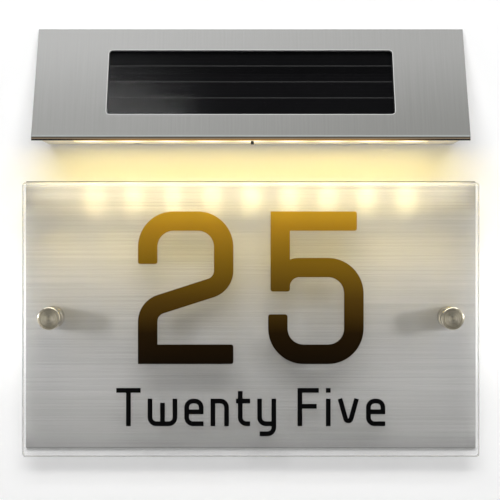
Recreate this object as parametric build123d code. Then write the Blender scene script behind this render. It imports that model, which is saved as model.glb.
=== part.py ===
from build123d import *
from math import asin, atan2, cos, hypot, sin, tan
import os

# House number plaque with a solar lamp above it, both fixed to the same wall.
# Millimetres. X runs to the right, Y into the wall and Z up. The origin lies on the wall, halfway
# between the two standoffs. Depths are measured from the wall towards the viewer, so a depth of
# 10 is at Y = -10.

# Plates of the plaque
plate_width = 300.0
back_height = 178.0
back_thickness = 2.0
back_rise = 1.5
back_corner = 0.8
panel_height = 180.0
panel_thickness = 4.0
panel_drop = 1.0
panel_corner = 2.0
panel_edge = 0.5

# Standoffs that carry the clear panel
standoff_inset = 18.5
standoff_radius = 7.5
standoff_edge = 0.7
barrel_length = 12.0
barrel_base = 4.0
cap_length = 8.0
thread_radius = 4.0
thread_clearance = 0.1
thread_grip = 6.0
washer_thickness = 0.5
washer_inset = 0.6
panel_hole_clearance = 0.8
wall_screw_hole = 2.6

# Digits and words bonded to the clear panel
digit_height = 100.0
digit_width = 62.5
digit_stroke = 12.7
digit_bend = 17.0
digit_turn = 12.0
digit_end = 1.6
digit_gap = 22.8
digit_base = -30.0
digit_thickness = 2.0
word_base = -70.8
word_cap = 25.0
word_small = 18.0
word_tail = 6.6
word_stroke = 3.1
word_bend = 4.2
word_gap = 4.6
word_space = 14.0
word_thickness = 1.0

# Shares of the digits' own height or width
two_hook_share = 0.655
two_shoulder_share = 0.525
two_heel_share = 0.365
five_stem_share = 0.025
five_flag_share = 0.93
five_stem_end_share = 0.475
five_bowl_share = 0.632
five_hook_share = 0.325

# Shares of the letters' own height
capital_t_share = 0.64
capital_f_share = 0.56
middle_bar_share = 0.52
short_bar_share = 0.9
w_share = 1.08
w_middle_share = 0.85
e_share = 0.7
n_share = 0.67
t_share = 0.52
t_stem_share = 0.3
t_rise_share = 0.92
y_share = 0.69
v_share = 0.78
v_point_share = 0.6

# Folded hood of the lamp
hood_width = 282.5
hood_top = 192.0
hood_bottom = 115.2
hood_hem = 11.0
sheet = 1.2
fold_radius = 1.0
lip_depth = 38.5
lip_rise = 3.2
lip_radius = 2.0
window_side = 47.6
window_margin = 15.7
window_corner = 2.6

# Solar panel behind the window
gasket_thickness = 1.0
solar_overlap = 3.5
glass_thickness = 2.0
cell_rows = 4
cell_gap = 0.9
cell_border = 0.4
cell_rise = 2.75
cell_thickness = 0.3
solar_board_thickness = 1.6
solar_clearance = 0.3

# Case that the hood closes
case_side = 6.75
case_drop = 6.0
case_wall = 1.8
case_floor = 2.0
case_gap = 0.2
flange_width = 12.0
flange_length = 40.0
flange_thickness = 2.0
stud_rise = 13.0
stud_radius = 1.5
stud_clearance = 0.2
nut_flats = 5.5
nut_thickness = 2.4
stud_tip = 1.0

# Wall plate of the lamp
wall_plate_side = 17.7
wall_plate_drop = 20.0
wall_plate_thickness = 1.5
lamp_screw_inset = 15.0
lamp_screw_rise = 29.8
screw_head_relief = 6.5
tab_spacing = 150.0
tab_width = 14.0
tab_clearance = 1.0
hook_drop = 12.0
hook_tongue = 7.5
hook_play = 0.4
lock_tab_length = 11.5
lock_screw_inset = 5.0
lock_screw_radius = 1.4
lock_screw_head = 2.8
lock_screw_tip = 1.5

# Batteries and their door
battery_radius = 7.25
battery_length = 50.5
battery_nose = 1.3
battery_nose_radius = 2.75
battery_play = 0.4
rib_offsets = (-38.0, -12.0, 12.0, 38.0)
rib_thickness = 2.0
rib_wall = 1.0
rib_clearance = 0.2
contact_thickness = 0.5
contact_height = 6.3
contact_foot = 3.5
contact_inset = 2.0
door_margin = 3.0
door_thickness = 1.2
door_clearance = 0.2
door_ledge = 1.0
door_ear = 6.0
door_screw_radius = 1.1
door_screw_head = 2.1
door_screw_length = 4.6
door_boss_radius = 2.8
door_boss_length = 4.0

# Circuit board with its lamps, parts and switch
board_post = 4.0
board_thickness = 1.5
board_clearance = 0.6
post_width = 6.0
post_length = 8.0
post_gap = 1.0
middle_post_offset = 62.0
board_screw_radius = 1.1
board_screw_head = 2.2
board_screw_head_height = 1.5
led_count = 9
led_end = 11.0
led_width = 2.8
led_length = 3.5
led_height = 1.9
led_gap = 1.0
lens_end = 17.7
lens_margin = 1.5
lens_rim = 1.6
lens_flange = 1.5
lens_flange_thickness = 1.2
lens_clearance = 0.2
pin_radius = 0.75
pin_offset = 15.0
pin_inset = 3.0
chip_offset = 32.0
chip_size = (6.0, 4.6, 1.6)
coil_offset = 44.0
coil_radius = 3.0
coil_height = 3.2

# Slide switch under the lamp
switch_travel = 2.0
switch_wall = 0.6
switch_play = 0.15
lever_width = 2.0
lever_depth = 1.8
lever_clearance = 0.2
lever_plate_width = 4.0
lever_plate_depth = 2.8
lever_plate_thickness = 1.0
lever_reach = 2.2

# Depths of the plaque's layers, from the wall
panel_back = back_thickness + barrel_length + washer_thickness
panel_front = panel_back + panel_thickness
cap_back = panel_front + washer_thickness
cap_front = cap_back + cap_length
standoff_reach = plate_width / 2 - standoff_inset
standoff_places = (-standoff_reach, standoff_reach)

# Slope of the hood, from the fold at its top to the middle of the lip's sheet
fold_outer = fold_radius + sheet / 2
lip_middle = lip_depth - sheet / 2
slope_run = lip_middle - fold_outer
slope_fall = hood_top - fold_outer - hood_bottom - lip_rise
hood_tilt = atan2(slope_run, slope_fall) - asin(fold_radius / hypot(slope_run, slope_fall))

# Its normal in (depth, height) and a point on its outer face
slope_depth_part = cos(hood_tilt)
slope_height_part = sin(hood_tilt)
slope_start_depth = fold_outer + fold_outer * slope_depth_part
slope_start_height = hood_top - fold_outer + fold_outer * slope_height_part


def slope_depth(height, below=0.0):
    """Depth of the face that lies a given distance below the hood's outer slope, at one height."""
    drop = slope_start_height - below * slope_height_part - height
    return slope_start_depth - below * slope_depth_part + drop * tan(hood_tilt)


def slope_height(depth, below=0.0):
    """Height of the face that lies a given distance below the hood's outer slope, at one depth."""
    run = depth - slope_start_depth + below * slope_depth_part
    return slope_start_height - below * slope_height_part - run / tan(hood_tilt)


# Window in the middle of the slope
lip_corner = slope_height(lip_depth)
window_width = hood_width - 2 * window_side
window_height = (slope_start_height - lip_corner) / cos(hood_tilt) - 2 * window_margin
window_centre = (slope_start_height + lip_corner) / 2

# Levels below the hood's outer slope
solar_size = (window_width + 2 * solar_overlap, window_height + 2 * solar_overlap)
glass_level = sheet + gasket_thickness
cell_level = glass_level + glass_thickness
solar_board_level = cell_level + cell_thickness
solar_back_level = solar_board_level + solar_board_thickness

# Case, board and battery places
case_width = hood_width - 2 * case_side
case_top = hood_top - case_drop
case_back = wall_plate_thickness + case_gap
case_inside = case_back + case_wall
case_front = lip_depth - sheet - case_gap
floor_top = hood_bottom + case_floor
inner_half = case_width / 2 - case_wall
battery_depth = case_inside + battery_play + battery_radius
battery_height = floor_top + battery_play + battery_radius
rib_front = battery_depth + battery_radius + rib_wall
board_bottom = floor_top + board_post
board_top = board_bottom + board_thickness
board_front = min(slope_depth(board_top, sheet), case_front) - board_clearance
board_back = rib_front + board_clearance
lens_top = floor_top + lens_flange_thickness

# Switch and lamp rows on the underside of the board
cavity_width = lever_plate_width + switch_travel + 2 * switch_play
cavity_depth = lever_plate_depth + 2 * switch_play
cavity_height = lever_plate_thickness + 2 * switch_play
switch_width = cavity_width + 2 * switch_wall
switch_depth = cavity_depth + 2 * switch_wall
switch_bottom = lens_top + lens_clearance
switch_centre = board_front - board_clearance - switch_depth / 2
lever_bottom = hood_bottom - lever_reach
slot_width = lever_width + switch_travel + 2 * lever_clearance
slot_depth = lever_depth + 2 * lever_clearance
led_depth = switch_centre - switch_depth / 2 - led_gap - led_length / 2
lens_length = 2 * (inner_half - lens_end)
led_pitch = (lens_length - 2 * led_end) / (led_count - 1)
led_places = [(i - (led_count - 1) / 2) * led_pitch for i in range(led_count)]
lens_front = case_front - lens_rim
lens_back = led_depth - led_length / 2 - lens_margin
post_place = lens_length / 2 + lens_flange + post_gap + post_width / 2
board_half = post_place + post_width / 2
tab_places = (-tab_spacing / 2, tab_spacing / 2)
wall_plate_half = inner_half - wall_plate_side
wall_plate_top = hood_top - wall_plate_drop
hook_height = wall_plate_top - hook_drop
lamp_screw_reach = wall_plate_half - lamp_screw_inset
lamp_screw_places = (-lamp_screw_reach, lamp_screw_reach)
lamp_screw_height = hood_bottom + lamp_screw_rise
lock_tab_bottom = floor_top + case_gap
lock_screw_depth = wall_plate_thickness + lock_tab_length - lock_screw_inset
door_half_width = battery_length + door_margin + door_ear
door_screw_place = door_half_width - door_ear / 2
door_half_height = battery_radius - battery_play


def block(left, right, back, front, bottom, top):
    """Box between two X values, two depths from the wall and two heights."""
    centre = Pos((left + right) / 2, -(back + front) / 2, (bottom + top) / 2)
    return centre * Box(right - left, front - back, top - bottom)


def rod(x, height, radius, back, front, front_radius=None):
    """Round bar, or cone, whose axis runs straight out from the wall."""
    place = Pos(x, -(back + front) / 2, height) * Rot(90, 0, 0)
    if front_radius is None:
        return place * Cylinder(radius, front - back)
    return place * Cone(radius, front_radius, front - back)


def upright(x, depth, radius, bottom, top, top_radius=None):
    """Round bar, or cone, whose axis is vertical."""
    place = Pos(x, -depth, (bottom + top) / 2)
    if top_radius is None:
        return place * Cylinder(radius, top - bottom)
    return place * Cone(radius, top_radius, top - bottom)


def crosswise(radius, left, right, depth, height):
    """Round bar whose axis runs from left to right."""
    return Pos((left + right) / 2, -depth, height) * Rot(0, 90, 0) * Cylinder(radius, right - left)


def side_plane(width):
    """Plane at the right end of a piece of this width, with depth and height as its axes."""
    return Plane(origin=(width / 2, 0, 0), x_dir=(0, -1, 0), z_dir=(-1, 0, 0))


def bar(points, width):
    """Bar of constant section along X, from the (depth, height) corners of its section."""
    section = make_face(Polyline(*points, close=True))
    return extrude(side_plane(width) * section, amount=width, dir=(-1, 0, 0))


def slope_plane(below):
    """Plane parallel to the hood's slope, centred on the window, a distance below the outer face."""
    depth = slope_depth(window_centre) - below * slope_depth_part
    height = window_centre - below * slope_height_part
    normal = (0, -slope_depth_part, slope_height_part)
    return Plane(origin=(0, -depth, height), x_dir=(1, 0, 0), z_dir=normal)


def slope_slab(outline, below, thickness):
    """Plate that follows the slope, from a sketch, a level below the outer face and a thickness."""
    return extrude(slope_plane(below) * outline, amount=-thickness)


def back_plate():
    """Brushed metal plate that lies on the wall, with a screw hole behind each standoff."""
    outline = Pos(0, back_rise) * RectangleRounded(plate_width, back_height, back_corner)
    plate = extrude(Plane.XZ * outline, amount=back_thickness)
    for x in standoff_places:
        plate -= rod(x, 0, wall_screw_hole, 0, back_thickness)
    return plate


def front_panel():
    """Clear panel in front of the back plate, with polished edges and a hole at each standoff."""
    outline = Pos(0, -panel_drop) * RectangleRounded(plate_width, panel_height, panel_corner)
    panel = extrude(Plane.XZ.offset(panel_back) * outline, amount=panel_thickness)
    front_and_back = panel.faces().filter_by(Axis.Y)
    panel = chamfer(front_and_back.edges(), panel_edge)
    for x in standoff_places:
        panel -= rod(x, 0, thread_radius + panel_hole_clearance, panel_back, panel_front)
    return panel


def standoff_barrel(x):
    """Round spacer screwed to the wall, with a threaded bore for the cap."""
    front = back_thickness + barrel_length
    barrel = rod(x, 0, standoff_radius, back_thickness, front - standoff_edge)
    barrel += rod(x, 0, standoff_radius, front - standoff_edge, front, standoff_radius - standoff_edge)
    barrel -= rod(x, 0, wall_screw_hole, back_thickness, front)
    barrel -= rod(x, 0, thread_radius, back_thickness + barrel_base, front)
    return barrel


def standoff_cap(x):
    """Turned cap with the stud that clamps the clear panel."""
    cap = rod(x, 0, standoff_radius, cap_back, cap_front - standoff_edge)
    cap += rod(x, 0, standoff_radius, cap_front - standoff_edge, cap_front, standoff_radius - standoff_edge)
    stud_end = back_thickness + barrel_length - thread_grip
    cap += rod(x, 0, thread_radius - thread_clearance, stud_end, cap_back)
    return cap


def washer(x, back):
    """Soft ring between the clear panel and a standoff."""
    front = back + washer_thickness
    ring = rod(x, 0, standoff_radius - standoff_edge - washer_inset, back, front)
    return ring - rod(x, 0, thread_radius + thread_clearance, back, front)


def stroke(points, radii, width):
    """Flat stroke of constant width along a path with rounded corners."""
    return trace(FilletPolyline(*points, radius=radii), width)


def rounded_ends(face, ends, width, radius):
    """Round the two corners of each flat stroke end."""
    corners = ShapeList()
    for x, y in ends:
        end = Vector(x, y)
        for corner in face.vertices():
            if abs((Vector(*corner) - end).length - width / 2) < 1e-3:
                corners.append(corner)
    return fillet(corners, radius)


def digit_two_face():
    """Outline of the digit 2, with its lower left corner at the origin."""
    half = digit_stroke / 2
    left = half
    right = digit_width - half
    top = digit_height - half
    hook = digit_height * two_hook_share
    shoulder = digit_height * two_shoulder_share
    heel = digit_height * two_heel_share
    path = [(left, hook), (left, top), (right, top), (right, shoulder), (left, heel)]
    path += [(left, half), (digit_width, half)]
    radii = [digit_bend, digit_bend, digit_turn, digit_turn, 0]
    face = stroke(path, radii, digit_stroke)
    return rounded_ends(face, [path[0], path[-1]], digit_stroke, digit_end)


def digit_five_face():
    """Outline of the digit 5, with its lower left corner at the origin."""
    half = digit_stroke / 2
    stem = half + digit_width * five_stem_share
    right = digit_width - half
    top = digit_height - half
    bar_end = digit_width * five_flag_share
    stem_end = digit_height * five_stem_end_share
    bowl_top = digit_height * five_bowl_share
    hook = digit_height * five_hook_share
    flag = stroke([(bar_end, top), (stem, top), (stem, stem_end)], [0], digit_stroke)
    path = [(stem, stem_end), (stem, bowl_top), (right, bowl_top), (right, half), (half, half), (half, hook)]
    first_bend = min(digit_bend, bowl_top - stem_end - 2 * digit_end)
    bowl = stroke(path, [first_bend, digit_bend, digit_bend, digit_bend], digit_stroke)
    return rounded_ends(flag + bowl, [(bar_end, top), path[0], path[-1]], digit_stroke, digit_end)


def digit(face, left):
    """Solid digit on the front of the clear panel, from its outline and its left edge."""
    place = Plane.XZ.offset(panel_front) * Pos(left, digit_base)
    return extrude(place * face, amount=digit_thickness, dir=(0, -1, 0))


def letter_t_capital():
    """Strokes and width of a capital T."""
    half = word_stroke / 2
    width = word_cap * capital_t_share
    bar_height = word_cap - half
    strokes = [([(0, bar_height), (width, bar_height)], [])]
    strokes.append(([(width / 2, bar_height), (width / 2, 0)], []))
    return strokes, width


def letter_f_capital():
    """Strokes and width of a capital F."""
    half = word_stroke / 2
    width = word_cap * capital_f_share
    bar_height = word_cap - half
    middle = word_cap * middle_bar_share
    strokes = [([(half, 0), (half, bar_height), (width, bar_height)], [0])]
    strokes.append(([(half, middle), (width * short_bar_share, middle)], []))
    return strokes, width


def letter_w():
    """Strokes and width of a small w with a square, rounded foot."""
    half = word_stroke / 2
    width = word_small * w_share
    path = [(half, word_small), (half, half), (width - half, half), (width - half, word_small)]
    strokes = [(path, [word_bend, word_bend])]
    strokes.append(([(width / 2, half), (width / 2, word_small * w_middle_share)], []))
    return strokes, width


def letter_e():
    """Strokes and width of a small e."""
    half = word_stroke / 2
    width = word_small * e_share
    right = width - half
    top = word_small - half
    middle = word_small * middle_bar_share
    path = [(right, middle), (right, top), (half, top), (half, half), (width, half)]
    bend = min(word_bend, top - middle - half)
    strokes = [(path, [bend, word_bend, word_bend])]
    strokes.append(([(half, middle), (width, middle)], []))
    return strokes, width


def letter_n():
    """Strokes and width of a small n."""
    half = word_stroke / 2
    width = word_small * n_share
    top = word_small - half
    strokes = [([(half, 0), (half, word_small)], [])]
    strokes.append(([(half, top), (width - half, top), (width - half, 0)], [word_bend]))
    return strokes, width


def letter_t():
    """Strokes and width of a small t."""
    half = word_stroke / 2
    width = word_small * t_share
    stem = width * t_stem_share
    bar_height = word_small - half
    strokes = [([(stem, word_cap * t_rise_share), (stem, half), (width, half)], [word_bend])]
    strokes.append(([(0, bar_height), (width, bar_height)], []))
    return strokes, width


def letter_y():
    """Strokes and width of a small y with a square, rounded tail."""
    half = word_stroke / 2
    width = word_small * y_share
    right = width - half
    tail = half - word_tail
    strokes = [([(half, word_small), (half, half), (right, half)], [word_bend])]
    strokes.append(([(right, word_small), (right, tail), (half, tail)], [word_bend]))
    return strokes, width


def letter_i():
    """Strokes and width of a small i with a square dot."""
    half = word_stroke / 2
    strokes = [([(half, 0), (half, word_small)], [])]
    strokes.append(([(half, word_cap - word_stroke), (half, word_cap)], []))
    return strokes, word_stroke


def letter_v():
    """Strokes and width of a small v."""
    half = word_stroke / 2
    width = word_small * v_share
    path = [(half, word_small), (width / 2, -half), (width - half, word_small)]
    return [(path, [word_stroke * v_point_share])], width


def number_words():
    """The number spelt out in two words, one solid for each letter, centred under the digits."""
    first_word = [letter_t_capital(), letter_w(), letter_e(), letter_n(), letter_t(), letter_y()]
    second_word = [letter_f_capital(), letter_i(), letter_v(), letter_e()]
    placed = []
    cursor = 0.0
    for word in (first_word, second_word):
        for strokes, width in word:
            placed.append((strokes, cursor))
            cursor += width + word_gap
        cursor += word_space - word_gap
    left = -(cursor - word_space) / 2
    solids = []
    for strokes, offset in placed:
        face = Sketch()
        for points, radii in strokes:
            if radii:
                face += stroke(points, radii, word_stroke)
            else:
                face += trace(Line(*points), word_stroke)
        place = Plane.XZ.offset(panel_front) * Pos(left + offset, word_base)
        letter = extrude(place * face, amount=word_thickness, dir=(0, -1, 0))
        solids.extend(letter.solids())
    return Compound(children=solids)


def stud_places():
    """Where the four studs stand on the slope, as (X, distance up the slope)."""
    x = inner_half - flange_width / 2
    return [(side * x, rise) for side in (-1, 1) for rise in (-stud_rise, stud_rise)]


def hood():
    """Folded sheet with a hem on the wall, a slope, a front lip, a window and four welded studs."""
    middle = sheet / 2
    path = [(middle, hood_top - hood_hem), (middle, slope_height(middle, middle))]
    path += [(lip_middle, slope_height(lip_middle, middle)), (lip_middle, hood_bottom)]
    section = stroke(path, [fold_radius, lip_radius], sheet)
    body = extrude(side_plane(hood_width) * section, amount=hood_width, dir=(-1, 0, 0))
    body -= slope_slab(RectangleRounded(window_width, window_height, window_corner), 0, sheet)
    length = flange_thickness + nut_thickness + stud_tip
    for x, rise in stud_places():
        body += slope_slab(Pos(x, rise) * Circle(stud_radius), sheet, length)
    return body


def hood_nuts():
    """Nuts that clamp the case's flanges to the hood's studs."""
    outline = RegularPolygon(nut_flats / 2, 6, major_radius=False)
    outline -= Circle(stud_radius + thread_clearance)
    level = sheet + flange_thickness
    nuts = [slope_slab(Pos(x, rise) * outline, level, nut_thickness) for x, rise in stud_places()]
    return Compound(children=nuts)


def panel_gasket():
    """Foam frame that seals and holds the solar panel behind the window."""
    ring = Rectangle(*solar_size) - RectangleRounded(window_width, window_height, window_corner)
    return slope_slab(ring, sheet, gasket_thickness)


def solar_glass():
    """Cover glass of the solar panel."""
    return slope_slab(Rectangle(*solar_size), glass_level, glass_thickness)


def solar_cells():
    """Long cells in rows behind the cover glass."""
    width = window_width - 2 * cell_border
    pitch = (window_height - 2 * cell_border + cell_gap) / cell_rows
    cells = []
    for row in range(cell_rows):
        place = Pos(0, cell_rise + (row - (cell_rows - 1) / 2) * pitch)
        outline = place * Rectangle(width, pitch - cell_gap)
        cells.append(slope_slab(outline, cell_level, cell_thickness))
    return Compound(children=cells)


def solar_board():
    """Backing board of the solar panel."""
    return slope_slab(Rectangle(*solar_size), solar_board_level, solar_board_thickness)


def solar_pins():
    """Contact pins that stand on the circuit board and meet the back of the solar panel."""
    depth = board_back + pin_inset
    beyond = slope_height(depth, 0)
    cut = extrude(slope_plane(solar_back_level) * Rectangle(*solar_size), amount=solar_back_level)
    pins = []
    for x in (-pin_offset, pin_offset):
        pins.append(upright(x, depth, pin_radius, board_top, beyond) - cut)
    return Compound(children=[pin.solids().sort_by(Axis.Z)[0] for pin in pins])


def countersunk_cut(x, depth, bottom, head_radius, radius):
    """Cone-headed space for a screw that goes up through a floor."""
    head = head_radius - radius
    cut = upright(x, depth, head_radius, bottom, bottom + head, radius)
    return cut + upright(x, depth, radius, bottom, bottom + case_floor + case_gap)


def case():
    """Open tray behind the hood: back wall, floor and two side walls, with its seats."""
    slope_front = (case_front, slope_height(case_front, sheet))
    slope_top = (slope_depth(case_top, sheet), case_top)
    section = [(case_back, hood_bottom), (case_front, hood_bottom), slope_front, slope_top]
    section.append((case_back, case_top))
    body = bar(section, case_width)
    hollow = [(case_inside, floor_top), (lip_depth, floor_top), (lip_depth, hood_top)]
    hollow.append((case_inside, hood_top))
    body -= bar(hollow, 2 * inner_half)
    solar_width, solar_height = solar_size
    recess = Rectangle(solar_width + 2 * solar_clearance, solar_height + 2 * solar_clearance)
    body -= slope_slab(recess, sheet, solar_back_level - sheet + solar_clearance)
    body = case_flanges(body)
    body = case_seats(body)
    return case_cuts(body)


def case_flanges(body):
    """Add the flanges under the hood's slope, with a hole for each stud."""
    for side in (-1, 1):
        x = side * (inner_half - flange_width / 2)
        body += slope_slab(Pos(x, 0) * Rectangle(flange_width, flange_length), sheet, flange_thickness)
    for x, rise in stud_places():
        hole = Pos(x, rise) * Circle(stud_radius + stud_clearance)
        body -= slope_slab(hole, sheet, flange_thickness)
    return body


def case_seats(body):
    """Add the board posts, the battery ribs and the door's screw bosses."""
    half = post_width / 2
    post_back = led_depth - post_length / 2
    post_front = led_depth + post_length / 2
    middle_front = lens_back - lens_flange - lens_clearance
    boss_front = case_inside + door_boss_length
    for side in (-1, 1):
        x = side * post_place
        body += block(x - half, x + half, post_back, post_front, floor_top, board_bottom)
        body -= upright(x, led_depth, board_screw_radius + thread_clearance, floor_top, board_bottom)
        x = side * middle_post_offset
        body += block(x - half, x + half, board_back, middle_front, floor_top, board_bottom)
        body += rod(side * door_screw_place, battery_height, door_boss_radius, case_inside, boss_front)
    reach = battery_radius + rib_clearance
    half = rib_thickness / 2
    for x in rib_offsets:
        rib = block(x - half, x + half, case_inside, rib_front, floor_top, battery_height)
        rib -= crosswise(reach, x - half, x + half, battery_depth, battery_height)
        rib -= block(x - half, x + half, case_inside, battery_depth, battery_height - reach, case_top)
        body += rib
    return body


def case_cuts(body):
    """Cut the lens opening, the wall plate's slots, the screw reliefs and the battery door's seat."""
    half = lens_length / 2
    body -= block(-half, half, lens_back, lens_front, hood_bottom, floor_top)
    tab_half = tab_width / 2 + tab_clearance
    hook_top = hook_height + wall_plate_thickness
    slot_height = hook_tongue + wall_plate_thickness + tab_clearance
    low_slot_top = floor_top + slot_height + tab_clearance
    head = lock_screw_head + thread_clearance
    for x in tab_places:
        left = x - tab_half
        right = x + tab_half
        body -= block(left, right, case_back, case_inside, hook_top - slot_height, hook_top)
        body -= block(left, right, case_back, case_inside, floor_top, low_slot_top)
        body -= countersunk_cut(x, lock_screw_depth, hood_bottom, head, lock_screw_radius + thread_clearance)
    for x in lamp_screw_places:
        body -= rod(x, lamp_screw_height, screw_head_relief, case_back, case_inside)
    seat_half = door_half_width + door_clearance
    low = battery_height - door_half_height - door_clearance
    high = battery_height + door_half_height + door_clearance
    body -= block(-seat_half, seat_half, case_back, case_back + door_thickness, low, high)
    opening = battery_length + door_margin - door_ledge
    body -= block(-opening, opening, case_back, case_inside, low + door_ledge, high - door_ledge)
    for side in (-1, 1):
        bore = door_screw_radius + thread_clearance
        boss_front = case_inside + door_boss_length
        body -= rod(side * door_screw_place, battery_height, bore, case_back, boss_front)
    return body


def wall_plate():
    """Steel plate screwed to the wall, with two hooks for the case and two tabs for its lock screws."""
    half = wall_plate_half
    plate = block(-half, half, 0, wall_plate_thickness, lock_tab_bottom, wall_plate_top)
    tongue_back = case_inside + hook_play
    tongue_front = tongue_back + wall_plate_thickness
    lock_tab_front = wall_plate_thickness + lock_tab_length
    lock_tab_top = lock_tab_bottom + wall_plate_thickness
    hook_top = hook_height + wall_plate_thickness
    bore = lock_screw_radius + thread_clearance
    for x in tab_places:
        left = x - tab_width / 2
        right = x + tab_width / 2
        plate += block(left, right, 0, tongue_front, hook_height, hook_top)
        plate += block(left, right, tongue_back, tongue_front, hook_height, hook_top + hook_tongue)
        plate += block(left, right, 0, lock_tab_front, lock_tab_bottom, lock_tab_top)
        plate -= upright(x, lock_screw_depth, bore, lock_tab_bottom, lock_tab_top)
    for x in lamp_screw_places:
        plate -= rod(x, lamp_screw_height, wall_screw_hole, 0, wall_plate_thickness)
    return plate


def lock_screws():
    """Countersunk screws that go up through the case's floor into the wall plate's tabs."""
    neck = hood_bottom + lock_screw_head - lock_screw_radius
    tip = lock_tab_bottom + wall_plate_thickness + lock_screw_tip
    screws = []
    for x in tab_places:
        screw = upright(x, lock_screw_depth, lock_screw_head, hood_bottom, neck, lock_screw_radius)
        screw += upright(x, lock_screw_depth, lock_screw_radius, neck, tip)
        screws.append(screw.solid())
    return Compound(children=screws)


def battery(left):
    """One rechargeable cell on its side, with its nose to the right."""
    shoulder = left + battery_length - battery_nose
    tip = left + battery_length
    cell = crosswise(battery_radius, left, shoulder, battery_depth, battery_height)
    return cell + crosswise(battery_nose_radius, shoulder, tip, battery_depth, battery_height)


def battery_contacts():
    """Upright contact plates on the board, one at each end of the row of cells."""
    back = case_inside + contact_inset
    front = board_back + contact_foot
    plates = []
    for side in (-1, 1):
        inner = side * battery_length
        outer = side * (battery_length + contact_thickness)
        left = min(inner, outer)
        right = max(inner, outer)
        plates.append(block(left, right, back, front, board_top, board_top + contact_height))
    return Compound(children=plates)


def battery_door():
    """Flush door in the back of the case."""
    front = case_back + door_thickness
    low = battery_height - door_half_height
    high = battery_height + door_half_height
    door = block(-door_half_width, door_half_width, case_back, front, low, high)
    neck = case_back + door_screw_head - door_screw_radius
    head = door_screw_head + thread_clearance
    bore = door_screw_radius + thread_clearance
    for side in (-1, 1):
        x = side * door_screw_place
        door -= rod(x, battery_height, head, case_back, neck, bore)
        door -= rod(x, battery_height, bore, case_back, front)
    return door


def door_screws():
    """Countersunk screws that hold the battery door."""
    neck = case_back + door_screw_head - door_screw_radius
    tip = case_back + door_screw_length
    screws = []
    for side in (-1, 1):
        x = side * door_screw_place
        screw = rod(x, battery_height, door_screw_head, case_back, neck, door_screw_radius)
        screw += rod(x, battery_height, door_screw_radius, neck, tip)
        screws.append(screw.solid())
    return Compound(children=screws)


def circuit_board():
    """Circuit board above the lens, with a hole for each of its screws."""
    board = block(-board_half, board_half, board_back, board_front, board_bottom, board_top)
    bore = board_screw_radius + thread_clearance
    for side in (-1, 1):
        board -= upright(side * post_place, led_depth, bore, board_bottom, board_top)
    return board


def board_screws():
    """Screws that hold the circuit board on its end posts."""
    head_top = board_top + board_screw_head_height
    screws = []
    for side in (-1, 1):
        x = side * post_place
        screw = upright(x, led_depth, board_screw_radius, floor_top + thread_clearance, board_top)
        screw += upright(x, led_depth, board_screw_head, board_top, head_top)
        screws.append(screw.solid())
    return Compound(children=screws)


def board_parts():
    """Charging chip and coil on top of the circuit board."""
    width, length, height = chip_size
    left = chip_offset - width / 2
    back = led_depth - length / 2
    chip = block(left, left + width, back, back + length, board_top, board_top + height)
    coil = upright(coil_offset, led_depth, coil_radius, board_top, board_top + coil_height)
    return Compound(children=[chip, coil])


def leds():
    """Row of small lamps under the circuit board."""
    half = led_width / 2
    back = led_depth - led_length / 2
    front = led_depth + led_length / 2
    bottom = board_bottom - led_height
    lamps = [block(x - half, x + half, back, front, bottom, board_bottom) for x in led_places]
    return Compound(children=lamps)


def led_lens():
    """Frosted strip in the floor of the case, flanged on the inside, with a slot for the switch."""
    half = lens_length / 2 - lens_clearance
    back = lens_back + lens_clearance
    front = lens_front - lens_clearance
    strip = block(-half, half, back, front, hood_bottom, floor_top)
    half = lens_length / 2 + lens_flange
    strip += block(-half, half, lens_back - lens_flange, lens_front + lens_flange, floor_top, lens_top)
    slot_back = switch_centre - slot_depth / 2
    slot_front = switch_centre + slot_depth / 2
    strip -= block(-slot_width / 2, slot_width / 2, slot_back, slot_front, hood_bottom, lens_top)
    return strip


def switch_body():
    """Hollow switch under the front of the circuit board, open below for its lever."""
    back = switch_centre - switch_depth / 2
    front = switch_centre + switch_depth / 2
    half = switch_width / 2
    body = block(-half, half, back, front, switch_bottom, board_bottom)
    cavity_bottom = switch_bottom + switch_wall
    half = cavity_width / 2
    cavity_back = switch_centre - cavity_depth / 2
    cavity_front = switch_centre + cavity_depth / 2
    body -= block(-half, half, cavity_back, cavity_front, cavity_bottom, cavity_bottom + cavity_height)
    half = slot_width / 2
    slot_back = switch_centre - slot_depth / 2
    slot_front = switch_centre + slot_depth / 2
    return body - block(-half, half, slot_back, slot_front, switch_bottom, cavity_bottom)


def switch_lever():
    """Sliding lever, drawn at the right end of its travel, where the lamp is on."""
    x = switch_travel / 2
    plate_bottom = switch_bottom + switch_wall + switch_play
    half = lever_plate_width / 2
    back = switch_centre - lever_plate_depth / 2
    front = switch_centre + lever_plate_depth / 2
    plate = block(x - half, x + half, back, front, plate_bottom, plate_bottom + lever_plate_thickness)
    half = lever_width / 2
    back = switch_centre - lever_depth / 2
    front = switch_centre + lever_depth / 2
    return plate + block(x - half, x + half, back, front, lever_bottom, plate_bottom)


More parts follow.
